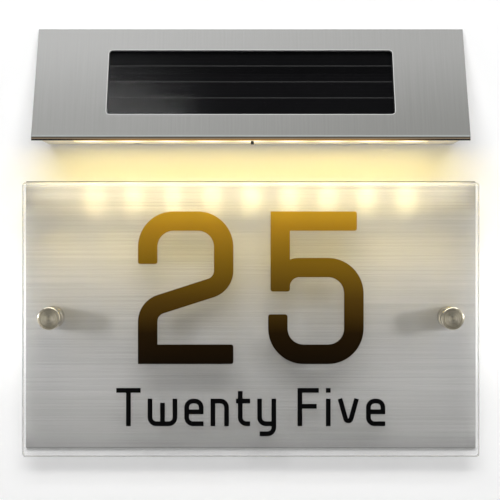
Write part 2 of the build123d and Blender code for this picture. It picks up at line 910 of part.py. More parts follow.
nodes = {
    "back_plate": back_plate(),
    "front_panel": front_panel(),
    "digit_two": digit(digit_two_face(), -digit_gap / 2 - digit_width),
    "digit_five": digit(digit_five_face(), digit_gap / 2),
    "number_words": number_words(),
    "hood": hood(),
    "hood_nuts": hood_nuts(),
    "panel_gasket": panel_gasket(),
    "solar_glass": solar_glass(),
    "solar_cells": solar_cells(),
    "solar_board": solar_board(),
    "solar_pins": solar_pins(),
    "case": case(),
    "wall_plate": wall_plate(),
    "lock_screws": lock_screws(),
    "battery_left": battery(-battery_length),
    "battery_right": battery(0.0),
    "battery_contacts": battery_contacts(),
    "battery_door": battery_door(),
    "door_screws": door_screws(),
    "circuit_board": circuit_board(),
    "board_screws": board_screws(),
    "board_parts": board_parts(),
    "leds": leds(),
    "led_lens": led_lens(),
    "switch_body": switch_body(),
    "switch_lever": switch_lever(),
}
for side_name, side_x in zip(("left", "right"), standoff_places):
    nodes[f"standoff_barrel_{side_name}"] = standoff_barrel(side_x)
    nodes[f"standoff_cap_{side_name}"] = standoff_cap(side_x)
    nodes[f"back_washer_{side_name}"] = washer(side_x, back_thickness + barrel_length)
    nodes[f"front_washer_{side_name}"] = washer(side_x, panel_front)

os.makedirs("parts", exist_ok=True)
for name, solid in nodes.items():
    export_step(solid, f"parts/{name}.step")
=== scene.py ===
"""Looks of a wall-mounted house number plaque with a solar lamp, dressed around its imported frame.

Everything is in metres. X runs to the right, Y into the wall and Z up, with the origin on the wall
halfway between the standoffs. A depth is a distance from the wall towards the viewer.
"""

import logging
import math
from dataclasses import dataclass
from enum import Enum
from typing import Any, Optional, Union

import bmesh
import bpy
from mathutils import Matrix, Vector


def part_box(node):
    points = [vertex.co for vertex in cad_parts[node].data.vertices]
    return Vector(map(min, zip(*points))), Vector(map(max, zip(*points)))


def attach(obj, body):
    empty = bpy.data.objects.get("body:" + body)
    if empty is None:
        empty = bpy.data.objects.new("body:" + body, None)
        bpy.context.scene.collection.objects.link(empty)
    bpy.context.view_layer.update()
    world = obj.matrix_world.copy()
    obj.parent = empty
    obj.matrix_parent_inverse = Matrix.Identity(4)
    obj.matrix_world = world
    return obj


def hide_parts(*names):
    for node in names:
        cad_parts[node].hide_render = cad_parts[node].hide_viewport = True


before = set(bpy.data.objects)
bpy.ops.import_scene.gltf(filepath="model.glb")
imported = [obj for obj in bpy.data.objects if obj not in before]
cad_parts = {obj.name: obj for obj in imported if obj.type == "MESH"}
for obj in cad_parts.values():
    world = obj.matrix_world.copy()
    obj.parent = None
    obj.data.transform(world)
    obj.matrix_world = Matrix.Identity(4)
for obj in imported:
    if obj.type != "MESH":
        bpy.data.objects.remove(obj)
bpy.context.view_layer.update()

MAIN_BODY = "plaque"
DIGITS = ("digit_two", "digit_five")
MM = 0.001
WELD = 0.001 * MM

# Softened edges: steps of the rounding, least angle in degrees, and how far large faces keep their shading
EDGE_SEGMENTS = 2
EDGE_ANGLE = 40.0
NORMAL_WEIGHT = 100

# Share of a face's normal along an axis, from where it starts to count as turned that way to where it is
FACING = (0.5, 0.9)

log = logging.getLogger("plaque")

Pair = tuple[float, float]
Triple = tuple[float, float, float]
Colour = tuple[float, float, float]
Value = Union["Wire", float]
Settings = dict[str, Any]
Sockets = dict[Union[str, int], Any]
Profile = list[Pair]


class Side(Enum):
    """Side of the plaque, as the viewer sees it."""

    LEFT = "left"
    RIGHT = "right"


class LampKind(Enum):
    """How a studio lamp throws its light."""

    AREA = "AREA"
    SPOT = "SPOT"


def rgba(colour: Colour) -> tuple[float, float, float, float]:
    """Add full opacity to a colour."""
    return (*colour, 1.0)


class Wire:
    """An output socket that takes part in arithmetic, each step of which adds a Math node."""

    def __init__(self, tree: "ShaderTree", socket: bpy.types.NodeSocket) -> None:
        """Keep the socket and the tree that it belongs to."""
        self.tree = tree
        self.socket = socket

    def out(self, name: Union[str, int]) -> "Wire":
        """Another output of the same node."""
        return Wire(self.tree, self.socket.node.outputs[name])

    def _math(self, operation: str, *values: Value) -> "Wire":
        """One Math node on up to three values."""
        return self.tree.node("ShaderNodeMath", {"operation": operation}, dict(enumerate(values)))

    def __add__(self, other: Value) -> "Wire":
        """self + other."""
        return self._math("ADD", self, other)

    def __radd__(self, other: Value) -> "Wire":
        """other + self."""
        return self._math("ADD", other, self)

    def __sub__(self, other: Value) -> "Wire":
        """self - other."""
        return self._math("SUBTRACT", self, other)

    def __rsub__(self, other: Value) -> "Wire":
        """other - self."""
        return self._math("SUBTRACT", other, self)

    def __mul__(self, other: Value) -> "Wire":
        """self * other."""
        return self._math("MULTIPLY", self, other)

    def __rmul__(self, other: Value) -> "Wire":
        """other * self."""
        return self._math("MULTIPLY", other, self)

    def __truediv__(self, other: Value) -> "Wire":
        """self / other."""
        return self._math("DIVIDE", self, other)

    def __rtruediv__(self, other: Value) -> "Wire":
        """other / self."""
        return self._math("DIVIDE", other, self)

    def __mod__(self, other: Value) -> "Wire":
        """self % other."""
        return self._math("FLOORED_MODULO", self, other)

    def __rmod__(self, other: Value) -> "Wire":
        """other % self."""
        return self._math("FLOORED_MODULO", other, self)

    def __neg__(self) -> "Wire":
        """The value with its sign changed."""
        return self._math("MULTIPLY", self, -1.0)

    def __abs__(self) -> "Wire":
        """Size without sign."""
        return self._math("ABSOLUTE", self)

    def at_least(self, other: Value) -> "Wire":
        """The larger of two values."""
        return self._math("MAXIMUM", self, other)

    def at_most(self, other: Value) -> "Wire":
        """The smaller of two values."""
        return self._math("MINIMUM", self, other)

    def with_side(self, other: "Wire") -> "Wire":
        """Distance that two offsets at right angles make."""
        return self._math("SQRT", self * self + other * other)

    def wave(self, length: float) -> "Wire":
        """Sine wave between 0 and 1, one for each length."""
        return self._math("SINE", self * (2 * math.pi / length)) * 0.5 + 0.5

    def wrapped(self, period: float) -> "Wire":
        """Distance from the nearest whole multiple of a period, with its sign."""
        return self._math("WRAP", self, period / 2, -period / 2)


@dataclass(frozen=True)
class Grain:
    """Soft noise: cells to the metre, number of finer octaves, and the share that each of them keeps."""

    scale: float
    detail: float = 2.0
    rough: float = 0.5


@dataclass(frozen=True)
class Relief:
    """Height of a texture, and how strongly it turns the light."""

    height: float
    strength: float = 1.0


@dataclass(frozen=True)
class Span:
    """A value that a texture lifts from its low end."""

    low: float
    lift: float

    def by(self, texture: Wire) -> Wire:
        """The value where the texture is read."""
        return self.low + texture * self.lift


class ShaderTree:
    """The nodes of one material or world."""

    def __init__(self, owner: Union[bpy.types.Material, bpy.types.World]) -> None:
        """Start an empty tree.

        Args:
            owner: The material or world that is being made.
        """
        owner.use_nodes = True
        self.nodes = owner.node_tree.nodes
        self.links = owner.node_tree.links
        self.nodes.clear()

    def node(
        self, kind: str, settings: Optional[Settings] = None, sockets: Optional[Sockets] = None
    ) -> Wire:
        """Add one node.

        Args:
            kind: Blender's name of the node type.
            settings: Properties that are set first. A colour ramp's stops go under "stops".
            sockets: Values or wires for the inputs, by name or number.

        Returns:
            The node's first output, or a wire without a socket for an output node.
        """
        made = self.nodes.new(kind)
        for name, value in (settings or {}).items():
            if name == "stops":
                self._set_stops(made.color_ramp, value)
            else:
                setattr(made, name, value)
        for key, value in (sockets or {}).items():
            if isinstance(value, Wire):
                self.links.new(value.socket, made.inputs[key])
            else:
                made.inputs[key].default_value = value
        return Wire(self, made.outputs[0] if made.outputs else None)

    @staticmethod
    def _set_stops(ramp: bpy.types.ColorRamp, stops: tuple[tuple[float, Colour], ...]) -> None:
        """Give a colour ramp its stops.

        Args:
            ramp: The ramp of a new node.
            stops: Place and colour of each stop, from left to right.
        """
        while len(ramp.elements) < len(stops):
            ramp.elements.new(1.0)
        for element, (place, colour) in zip(ramp.elements, stops):
            element.position = place
            element.color = rgba(colour)

    def place(self) -> Wire:
        """Position in the part's own frame."""
        return self.node("ShaderNodeTexCoord").out("Object")

    def split(self, vector: Wire) -> tuple[Wire, Wire, Wire]:
        """The X, Y and Z of a vector."""
        parts = self.node("ShaderNodeSeparateXYZ", None, {"Vector": vector})
        return parts.out("X"), parts.out("Y"), parts.out("Z")

    def joined(self, x: Value, y: Value, z: Value) -> Wire:
        """A vector from three values."""
        return self.node("ShaderNodeCombineXYZ", None, {"X": x, "Y": y, "Z": z})

    def facing(self) -> tuple[Wire, Wire, Wire]:
        """The X, Y and Z of the surface's own normal, in the part's frame at rest."""
        return self.split(self.node("ShaderNodeNewGeometry").out("True Normal"))

    def noise(self, vector: Wire, grain: Grain) -> Wire:
        """Soft noise from 0 to 1 about 0.5.

        Args:
            vector: Where the noise is read.
            grain: Size and roughness of the noise.

        Returns:
            The noise value.
        """
        sockets = {"Scale": grain.scale, "Detail": grain.detail, "Roughness": grain.rough}
        return self.node("ShaderNodeTexNoise", None, {"Vector": vector, **sockets})

    def step(self, value: Wire, low: float, high: float) -> Wire:
        """Smooth step from 0 at low to 1 at high. High may be the smaller number."""
        sockets = {"Value": value, "From Min": low, "From Max": high}
        return self.node("ShaderNodeMapRange", {"interpolation_type": "SMOOTHSTEP"}, sockets)

    def mix(self, factor: Value, first: Union[Wire, Colour], second: Union[Wire, Colour]) -> Wire:
        """Blend two colours.

        Args:
            factor: How far the blend has gone, from 0 to 1.
            first: The colour at 0.
            second: The colour at 1.

        Returns:
            The blended colour.
        """
        ends = [end if isinstance(end, Wire) else rgba(end) for end in (first, second)]
        made = self.node("ShaderNodeMix", {"data_type": "RGBA"}, {0: factor, 6: ends[0], 7: ends[1]})
        return made.out(2)

    def times(self, vector: Union[Wire, Triple], scale: Union[Wire, Triple]) -> Wire:
        """A vector or colour multiplied part by part."""
        return self.node("ShaderNodeVectorMath", {"operation": "MULTIPLY"}, {0: vector, 1: scale})

    def shaded(self, colour: Union[Wire, Colour], share: Wire) -> Wire:
        """A colour multiplied by a grey share."""
        return self.times(colour, self.joined(share, share, share))

    def bump(self, height: Wire, relief: Relief) -> Wire:
        """A normal from a texture between 0 and 1 and the relief that it stands for."""
        sockets = {"Height": height, "Distance": relief.height, "Strength": relief.strength}
        return self.node("ShaderNodeBump", None, sockets)


@dataclass(frozen=True)
class Streaks:
    """Noise that is drawn out along a sheet, by its size along X and along Z."""

    along_x: float
    along_z: float
    detail: float = 2.0
    rough: float = 0.5

    def on(self, tree: ShaderTree, here: Wire) -> Wire:
        """The streaks' value at a place, from 0 to 1."""
        stretched = tree.times(here, (1 / self.along_x, 0.0, 1 / self.along_z))
        return tree.noise(stretched, Grain(1.0, self.detail, self.rough))


@dataclass(frozen=True)
class Finish:
    """A surface finish, made into one material the first time that it is used."""

    name: str

    def paint(self, tree: ShaderTree) -> Sockets:
        """Work out the surface's socket values.

        Args:
            tree: The material's nodes.

        Returns:
            Values and wires for the surface shader's inputs.
        """
        raise NotImplementedError

    def material(self) -> bpy.types.Material:
        """Make the material, or find it if it is made already.

        Returns:
            The finish as a material.
        """
        made = bpy.data.materials.get(self.name)
        if made is None:
            made = bpy.data.materials.new(self.name)
            tree = ShaderTree(made)
            surface = tree.node("ShaderNodeBsdfPrincipled", None, self.paint(tree))
            tree.node("ShaderNodeOutputMaterial", None, {"Surface": surface})
        return made


@dataclass(frozen=True)
class BrushedPlate(Finish):
    """Flat stainless sheet with a level brushed grain, and painted shade as a dark line along its top and
    bottom edges.

    Painted shade darkens its front along the foot, at the sides and in the upper corners.
    """

    dark: Colour = (0.445, 0.44, 0.43)
    light: Colour = (0.61, 0.605, 0.595)
    # Painted shade: a dark line along the top and bottom edges
    painted_edge: Colour = (0.13, 0.128, 0.12)
    streaks: Streaks = Streaks(400.0 * MM, 1.1 * MM, 3.0, 0.6)
    hairs: Streaks = Streaks(110.0 * MM, 0.42 * MM)
    clouds: Grain = Grain(9.0)
    streak_share: float = 0.45
    hair_share: float = 0.4
    cloud_share: float = 0.15
    tone_range: Pair = (0.3, 0.7)
    border: float = 0.7 * MM
    # Painted shade on the front: darker along the foot, at the sides and in the upper corners
    foot_height: float = 14.0 * MM
    foot_shade: float = 0.35
    side_width: float = 9.0 * MM
    side_shade: float = 0.16
    corner_width: float = 28.0 * MM
    corner_height: float = 24.0 * MM
    corner_shade: float = 0.32
    metallic: float = 0.35
    roughness: Span = Span(0.46, 0.14)
    anisotropy: float = 0.7
    grain_turn: float = 0.25
    relief: Relief = Relief(0.05 * MM, 0.3)
    relief_streaks: float = 0.4
    relief_hairs: float = 0.6

    def paint(self, tree: ShaderTree) -> Sockets:
        """Long streaks in the colour, finer hairs in the gloss and the relief, and painted shade set apart
        by place.

        Args:
            tree: The material's nodes.

        Returns:
            Values and wires for the surface shader's inputs.
        """
        here = tree.place()
        x, _, z = tree.split(here)
        _, inward, _ = tree.facing()
        low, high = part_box("back_plate")
        streaks = self.streaks.on(tree, here)
        hairs = self.hairs.on(tree, here)
        clouds = tree.noise(here, self.clouds)
        tone = streaks * self.streak_share + hairs * self.hair_share + clouds * self.cloud_share
        face = tree.mix(tree.step(tone, *self.tone_range), self.dark, self.light)
        # Painted shade along the foot, at the sides and in the upper corners of the front
        foot = tree.step(z, low.z + self.foot_height, low.z)
        side = tree.step(abs(x), high.x - self.side_width, high.x)
        corner = tree.step(abs(x), high.x - self.corner_width, high.x)
        corner = corner * tree.step(z, high.z - self.corner_height, high.z - self.corner_height / 2)
        dim = foot * self.foot_shade + side * self.side_shade + corner * self.corner_shade
        face = tree.shaded(face, 1.0 - dim * tree.step(-inward, *FACING))
        # Painted shade as a dark line along the top and bottom edges
        inset = (z - low.z).at_most(high.z - z)
        edge_shade_line = tree.step(inset, self.border, self.border / 2)
        return {
            "Base Color": tree.mix(edge_shade_line, face, self.painted_edge),
            "Metallic": self.metallic,
            "Roughness": self.roughness.by(hairs),
            "Anisotropic": self.anisotropy,
            "Anisotropic Rotation": self.grain_turn,
            "Normal": tree.bump(streaks * self.relief_streaks + hairs * self.relief_hairs, self.relief),
        }


@dataclass(frozen=True)
class BrushedHood(Finish):
    """Folded stainless sheet, brushed down its slope, with painted light: lighter towards its top and left,
    painted reflections on the lip, painted highlights at the bend and window edge, and painted lamp light on
    the hem.
    """

    # upper and lower carry painted light: the sheet is painted lighter towards its top, where the lights
    # reflect
    upper: Colour = (0.353, 0.353, 0.347)
    lower: Colour = (0.193, 0.194, 0.185)
    # Painted highlight along the bend above the lip
    bend_highlight: Colour = (0.325, 0.345, 0.332)
    # Painted reflection: the lip is dark, with a lighter line along it
    lip: Colour = (0.010, 0.008, 0.007)
    lip_reflection_line: Colour = (0.225, 0.178, 0.122)
    # Painted highlight: a bright line round the solar window
    painted_edge: Colour = (0.60, 0.60, 0.59)
    grain: Streaks = Streaks(0.45 * MM, 20.0 * MM, 3.0, 0.6)
    streaks: Streaks = Streaks(1.3 * MM, 60.0 * MM)
    # Painted light: the sheet is lighter towards the top and the left, standing in for reflections of the
    # key and glint lights
    tone_base: float = -0.24
    painted_light_rise: float = 0.66
    painted_light_left: float = 0.36
    tone_grain: float = 0.22
    tone_streaks: float = 0.26
    tilt: float = math.radians(26.0)
    rim_width: float = 0.45 * MM
    rim_soft: float = 0.6
    corner: float = 2.6 * MM
    overlap: float = 3.5 * MM
    sheet: float = 1.2 * MM
    gasket: float = 1.0 * MM
    lip_height: float = 2.5 * MM
    lip_blend: float = 0.4 * MM
    line_share: float = 0.55
    line_edge: Pair = (0.5 * MM, 0.2 * MM)
    bend_width: float = 0.7 * MM
    bend_soft: float = 0.4
    hem_edge: Pair = (1.2 * MM, 0.5 * MM)
    # Painted lamp light: the hem glows warm near the middle, where the lamp's light falls on it
    glow: Colour = (0.56, 0.30, 0.09)
    glow_reach: float = 100.0 * MM
    glow_fade: float = 30.0 * MM
    painted_glow_strength: float = 0.62
    metallic: float = 0.4
    roughness: Span = Span(0.55, 0.16)
    specular: float = 0.2
    relief: Relief = Relief(0.04 * MM, 0.3)

    def _window_rim_highlight(self, tree: ShaderTree, x: Wire, z: Wire) -> Wire:
        """Mask the narrow band round the window's rounded rectangle, where a bright painted highlight goes.

        Args:
            tree: The material's nodes.
            x: Position along the hood.
            z: Height.

        Returns:
            The mask, 1 within the band.
        """
        low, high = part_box("panel_gasket")
        rise, run = math.sin(self.tilt), math.cos(self.tilt)
        half_width = high.x - self.overlap - self.corner
        slope_half = (high.z - low.z - self.gasket * rise) / 2 / run
        half_height = slope_half - self.overlap - self.corner
        middle = (low.z + high.z) / 2 + (self.sheet + self.gasket / 2) * rise
        across = (abs(x) - half_width).at_least(0.0)
        along = (abs((z - middle) / run) - half_height).at_least(0.0)
        away = across.with_side(along) - self.corner
        return tree.step(away, self.rim_width, self.rim_width * self.rim_soft)

    def paint(self, tree: ShaderTree) -> Sockets:
        """Grain, with painted light that makes the sheet lighter towards the top and the left, and painted
        reflections and highlights on the lip, the bend and the window's edge, set apart by place.

        Args:
            tree: The material's nodes.

        Returns:
            Values and wires for the surface shader's inputs.
        """
        here = tree.place()
        x, _, z = tree.split(here)
        low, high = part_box("hood")
        grain = self.grain.on(tree, here)
        streaks = self.streaks.on(tree, here)
        # Painted light: lighter towards the top and the left
        rise = tree.step(z, low.z, high.z)
        side = tree.step(x, high.x, low.x)
        tone = self.tone_base + rise * self.painted_light_rise + side * self.painted_light_left
        tone = tone + grain * self.tone_grain + streaks * self.tone_streaks
        face = tree.mix(tone, self.lower, self.upper)
        # Painted highlight round the window
        face = tree.mix(self._window_rim_highlight(tree, x, z), face, self.painted_edge)
        # Painted dark reflection on the lip, with a lighter painted line along it
        drop = z - low.z
        line = tree.step(abs(drop - self.lip_height * self.line_share), *self.line_edge)
        lip = tree.mix(line, self.lip, self.lip_reflection_line)
        # Painted highlight along the bend
        above = drop - self.lip_height
        off_bend = abs(above - self.bend_width / 2)
        bend_highlight_mask = tree.step(off_bend, self.bend_width, self.bend_width * self.bend_soft)
        face = tree.mix(bend_highlight_mask, face, self.bend_highlight)
        on_lip = tree.step(above, 0.0, -self.lip_blend)
        # Painted lamp light on the hem
        painted_hem_light = tree.step(drop, *self.hem_edge)
        lit = tree.step(abs(x), self.glow_reach + self.glow_fade, self.glow_reach - self.glow_fade)
        return {
            "Emission Color": tree.shaded(self.glow, painted_hem_light * lit),
            "Emission Strength": self.painted_glow_strength,
            "Base Color": tree.mix(on_lip, face, lip),
            "Metallic": self.metallic,
            "Roughness": self.roughness.by(grain),
            "Specular IOR Level": self.specular,
            "Normal": tree.bump(grain, self.relief),
        }


@dataclass(frozen=True)
class ClearAcrylic(Finish):
    """Cast acrylic sheet, clear through its faces, with polished edges and lamp light painted as a glow
    along its top edge.

    Light from the front loses a share in the sheet, so that it throws a soft shadow. The share is smaller
    at the head, the foot and the sides. Round the standoffs it is larger, where low lights take over from
    the key light. Steep light from the lamp above slips through, apart from a share there.
    """

    body: Colour = (0.93, 0.94, 0.93)
    edge: Colour = (0.35, 0.35, 0.335)
    edge_range: Pair = (0.98, 0.6)
    face_alpha: float = 0.05
    edge_alpha: float = 0.55
    top_alpha: float = 0.25
    shade_alpha: float = 0.60
    head_alpha: float = 0.25
    head_height: float = 11.0 * MM
    foot_alpha: float = 0.38
    foot_height: float = 14.0 * MM
    side_alpha: float = 0.5
    side_width: float = 3.0 * MM
    rake_alpha: float = 0.92
    steep_alpha: float = 0.42
    rake_centre: Pair = (108.0 * MM, 6.0 * MM)
    rake_reach: Pair = (66.0 * MM, 44.0 * MM)
    frontal_range: Pair = (0.34, 0.26)
    # Painted lamp light: the top edge glows, fading towards the ends
    glow: Colour = (1.0, 0.90, 0.62)
    glow_depth: float = 4.0 * MM
    glow_fade: float = 28.0 * MM
    painted_glow_strength: float = 0.45
    haze: Grain = Grain(60.0)
    haze_share: float = 0.02
    roughness: float = 0.04
    ior: float = 1.49

    def _shadow(self, tree: ShaderTree, x: Wire, z: Wire) -> Wire:
        """Work out how much light the sheet holds back on its way to the plate.

        Args:
            tree: The material's nodes.
            x: Position along the sheet.
            z: Height.

        Returns:
            The share that is held back.
        """
        low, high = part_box("front_panel")
        near_foot = tree.step(z, low.z + 2 * self.foot_height, low.z + self.foot_height)
        near_side = tree.step(abs(x), high.x - 2 * self.side_width, high.x)
        near_head = tree.step(z, high.z - self.head_height, high.z)
        across = (abs(x) - self.rake_centre[0]) / self.rake_reach[0]
        along = (z - self.rake_centre[1]) / self.rake_reach[1]
        raked = tree.step(across.with_side(along), 1.0, 0.0)
        shade = self.shade_alpha + near_foot * (self.foot_alpha - self.shade_alpha)
        shade = shade + near_side * (self.side_alpha - shade)
        shade = shade + near_head * (self.head_alpha - shade)
        shade = shade + raked * (self.rake_alpha - shade)
        frontal = tree.step(tree.node("ShaderNodeLayerWeight").out("Facing"), *self.frontal_range)
        return frontal * shade + (1 - frontal) * raked * self.steep_alpha

    def paint(self, tree: ShaderTree) -> Sockets:
        """Thin veil on the faces, denser edges, and painted lamp light as a glow along the top edge.

        Args:
            tree: The material's nodes.

        Returns:
            Values and wires for the surface shader's inputs.
        """
        here = tree.place()
        x, _, z = tree.split(here)
        _, inward, _ = tree.facing()
        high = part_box("front_panel")[1]
        edge = tree.step(abs(inward), *self.edge_range)
        # Painted lamp light along the top edge
        near_top = tree.step(z, high.z - self.glow_depth, high.z)
        lit = near_top * tree.step(abs(x), high.x, high.x - self.glow_fade)
        haze = tree.noise(here, self.haze) * self.haze_share
        seen = edge * self.edge_alpha + near_top * self.top_alpha
        shadow = tree.node("ShaderNodeLightPath").out("Is Shadow Ray")
        alpha = self.face_alpha + haze + (1 - shadow) * seen + shadow * self._shadow(tree, x, z)
        return {
            "Base Color": tree.mix(edge, self.body, self.edge),
            "Roughness": self.roughness + haze,
            "IOR": self.ior,
            "Alpha": alpha.at_most(1.0),
            "Emission Color": tree.shaded(self.glow, lit),
            "Emission Strength": self.painted_glow_strength,
        }


@dataclass(frozen=True)
class TurnedSteel(Finish):
    """Stainless bar turned on a lathe, with fine rings round its own Z axis."""

    dark: Colour = (0.37, 0.325, 0.225)
    light: Colour = (0.58, 0.54, 0.445)
    uneven: Grain = Grain(900.0)
    wear: Grain = Grain(700.0, 3.0)
    uneven_share: float = 0.8
    wear_share: float = 0.2
    tone_range: Pair = (0.3, 0.7)
    ring_pitch: float = 0.42 * MM
    ring_drift: float = 0.3342 * MM
    roughness: Span = Span(0.12, 0.08)
    relief: Relief = Relief(0.018 * MM)

    def paint(self, tree: ShaderTree) -> Sockets:
        """Tool marks by distance from the axis on a face, and by height on a side.

        Args:
            tree: The material's nodes.

        Returns:
            Values and wires for the surface shader's inputs.
        """
        here = tree.place()
        x, y, z = tree.split(here)
        spread = x.with_side(y) + z
        uneven = tree.noise(tree.joined(spread, 0.0, 0.0), self.uneven)
        wear = tree.noise(here, self.wear)
        marks = (spread + uneven * self.ring_drift).wave(self.ring_pitch)
        tone = tree.step(uneven * self.uneven_share + wear * self.wear_share, *self.tone_range)
        return {
            "Base Color": tree.mix(tone, self.dark, self.light),
            "Metallic": 1.0,
            "Roughness": self.roughness.by(wear),
            "Normal": tree.bump(marks, self.relief),
        }


@dataclass(frozen=True)
class Moulded(Finish):
    """Moulded, cast or drawn material with a fine grain."""

    colour: Colour = (0.5, 0.5, 0.5)
    grain: float = 1500.0
    rough: float = 0.5
    relief: float = 0.04 * MM
    tone: float = 0.12
    metallic: float = 0.0
    specular: float = 0.5
    octaves: float = 3.0
    octave_share: float = 0.6
    cloud_size: float = 25.0
    rough_lift: float = 0.12
    relief_strength: float = 0.4

    def paint(self, tree: ShaderTree) -> Sockets:
        """Fine grain in the relief, and slow clouds in the colour.

        Args:
            tree: The material's nodes.

        Returns:
            Values and wires for the surface shader's inputs.
        """
        here = tree.place()
        grain = tree.noise(here, Grain(self.grain, self.octaves, self.octave_share))
        clouds = tree.noise(here, Grain(self.grain / self.cloud_size))
        shade = Span(1.0 - self.tone / 2, self.tone)
        roughness = Span(self.rough - self.rough_lift / 2, self.rough_lift)
        return {
            "Base Color": tree.shaded(self.colour, shade.by(clouds)),
            "Metallic": self.metallic,
            "Roughness": roughness.by(grain),
            "Specular IOR Level": self.specular,
            "Normal": tree.bump(grain, Relief(self.relief, self.relief_strength)),
        }


@dataclass(frozen=True)
class CasePlastic(Moulded):
    """Pale plastic, with the lamps' light painted on its underside as a glow."""

    # Painted lamp light on the underside
    glow: Colour = (1.0, 0.84, 0.56)
    painted_glow_strength: float = 0.58
    glow_reach: float = 17.0 * MM
    glow_end: float = 45.0 * MM
    glow_start: float = 2.0 * MM
    wall_end: float = 3.0 * MM
    underside_range: Pair = (0.7, 0.95)
    painted_pool: Span = Span(0.6, 0.6)

    def paint(self, tree: ShaderTree) -> Sockets:
        """Moulded grain, and a painted pool of lamp light by each lamp that fades along the underside and
        towards the wall.

        Args:
            tree: The material's nodes.

        Returns:
            Values and wires for the surface shader's inputs.
        """
        sockets = super().paint(tree)
        x, y, z = tree.split(tree.place())
        _, _, up = tree.facing()
        low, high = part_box("leds")
        # Painted pools of lamp light on the underside, fading towards the wall
        underside = tree.step(-up, *self.underside_range) * tree.step(z, low.z, low.z - self.glow_start)
        within = tree.step(abs(x), high.x + self.glow_end, high.x)
        within = within * tree.step(y, -self.wall_end, -2 * self.wall_end)
        painted_light_pools = self.painted_pool.by(lamp_spots(tree, x, y, self.glow_reach))
        sockets["Emission Color"] = tree.shaded(self.glow, underside * within * painted_light_pools)
        sockets["Emission Strength"] = self.painted_glow_strength
        return sockets


def lamp_spots(tree: ShaderTree, x: Wire, y: Wire, reach: float) -> Wire:
    """Round patch below each lamp.

    Args:
        tree: The material's nodes.
        x: Position along the row of lamps.
        y: Position across the row.
        reach: Distance over which a lamp's patch fades.

    Returns:
        The mask, from 0 to 1.
    """
    low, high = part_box("leds")
    along = x.wrapped(LampRow.from_frame().pitch)
    across = y - (low.y + high.y) / 2
    return tree.step(along.with_side(across), reach, 0.0)


@dataclass(frozen=True)
class FrostedLens(Finish):
    """Frosted strip that the lamps shine through."""

    body: Colour = (0.45, 0.40, 0.33)
    dim: Colour = (0.40, 0.30, 0.14)
    bright: Colour = (1.0, 0.90, 0.58)
    strength: float = 1.85
    spot_reach: float = 14.0 * MM
    frost: Grain = Grain(2600.0, 3.0)
    shade: Span = Span(0.95, 0.1)
    roughness: Span = Span(0.5, 0.15)
    relief: Relief = Relief(0.04 * MM, 0.4)

    def paint(self, tree: ShaderTree) -> Sockets:
        """A warm strip with a brighter patch at each lamp, over a fine frosted relief.

        Args:
            tree: The material's nodes.

        Returns:
            Values and wires for the surface shader's inputs.
        """
        here = tree.place()
        x, y, _ = tree.split(here)
        frost = tree.noise(here, self.frost)
        spots = lamp_spots(tree, x, y, self.spot_reach)
        return {
            "Base Color": tree.shaded(self.body, self.shade.by(frost)),
            "Roughness": self.roughness.by(frost),
            "Emission Color": tree.mix(spots, self.dim, self.bright),
            "Emission Strength": self.strength,
            "Normal": tree.bump(frost, self.relief),
        }


@dataclass(frozen=True)
class LampChip(Finish):
    """Small surface lamp: a white body with a glowing phosphor face."""

    body: Colour = (0.85, 0.85, 0.82)
    phosphor: Colour = (0.95, 0.62, 0.08)
    glow: Colour = (1.0, 0.84, 0.48)
    strength: float = 6.0
    speckle: Grain = Grain(5000.0)
    roughness: Span = Span(0.45, 0.2)
    relief: Relief = Relief(0.02 * MM, 0.3)

    def paint(self, tree: ShaderTree) -> Sockets:
        """The downward face glows, and the sides are ceramic.

        Args:
            tree: The material's nodes.

        Returns:
            Values and wires for the surface shader's inputs.
        """
        _, _, up = tree.facing()
        face = tree.step(-up, *FACING)
        speckle = tree.noise(tree.place(), self.speckle)
        return {
            "Base Color": tree.mix(face, self.body, self.phosphor),
            "Roughness": self.roughness.by(speckle),
            "Emission Color": tree.shaded(self.glow, face),
            "Emission Strength": self.strength,
            "Normal": tree.bump(speckle, self.relief),
        }


@dataclass(frozen=True)
class DigitLacquer(Finish):
    """Satin lacquer with painted light: it runs from black at the foot of a digit to old gold at its head,
    as if lit warm from above.
    """

    # Painted light: warm lamp light from above, falling off to black down the digit
    painted_light_fade: tuple[tuple[float, Colour], ...] = (
        (0.0, (0.004, 0.0018, 0.0)),
        (0.2, (0.011, 0.005, 0.0002)),
        (0.42, (0.064, 0.033, 0.003)),
        (0.68, (0.165, 0.093, 0.006)),
        (0.9, (0.262, 0.148, 0.011)),
        (1.0, (0.335, 0.202, 0.015)),
    )
    fleck: Grain = Grain(3500.0)
    shade: Span = Span(0.9, 0.2)
    metallic: float = 0.15
    roughness: Span = Span(0.42, 0.12)
    specular: float = 0.04
    relief: Relief = Relief(0.02 * MM, 0.25)

    def paint(self, tree: ShaderTree) -> Sockets:
        """A painted light fade by height, with a fine metal fleck in it.

        Args:
            tree: The material's nodes.

        Returns:
            Values and wires for the surface shader's inputs.
        """
        here = tree.place()
        _, _, z = tree.split(here)
        low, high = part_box(DIGITS[0])
        rise = (z - low.z) / (high.z - low.z)
        # Painted light fade by height
        painted_light_fade = tree.node("ShaderNodeValToRGB", {"stops": self.painted_light_fade}, {"Fac": rise})
        fleck = tree.noise(here, self.fleck)
        return {
            "Base Color": tree.shaded(painted_light_fade, self.shade.by(fleck)),
            "Metallic": self.metallic,
            "Roughness": self.roughness.by(fleck),
            "Specular IOR Level": self.specular,
            "Normal": tree.bump(fleck, self.relief),
        }


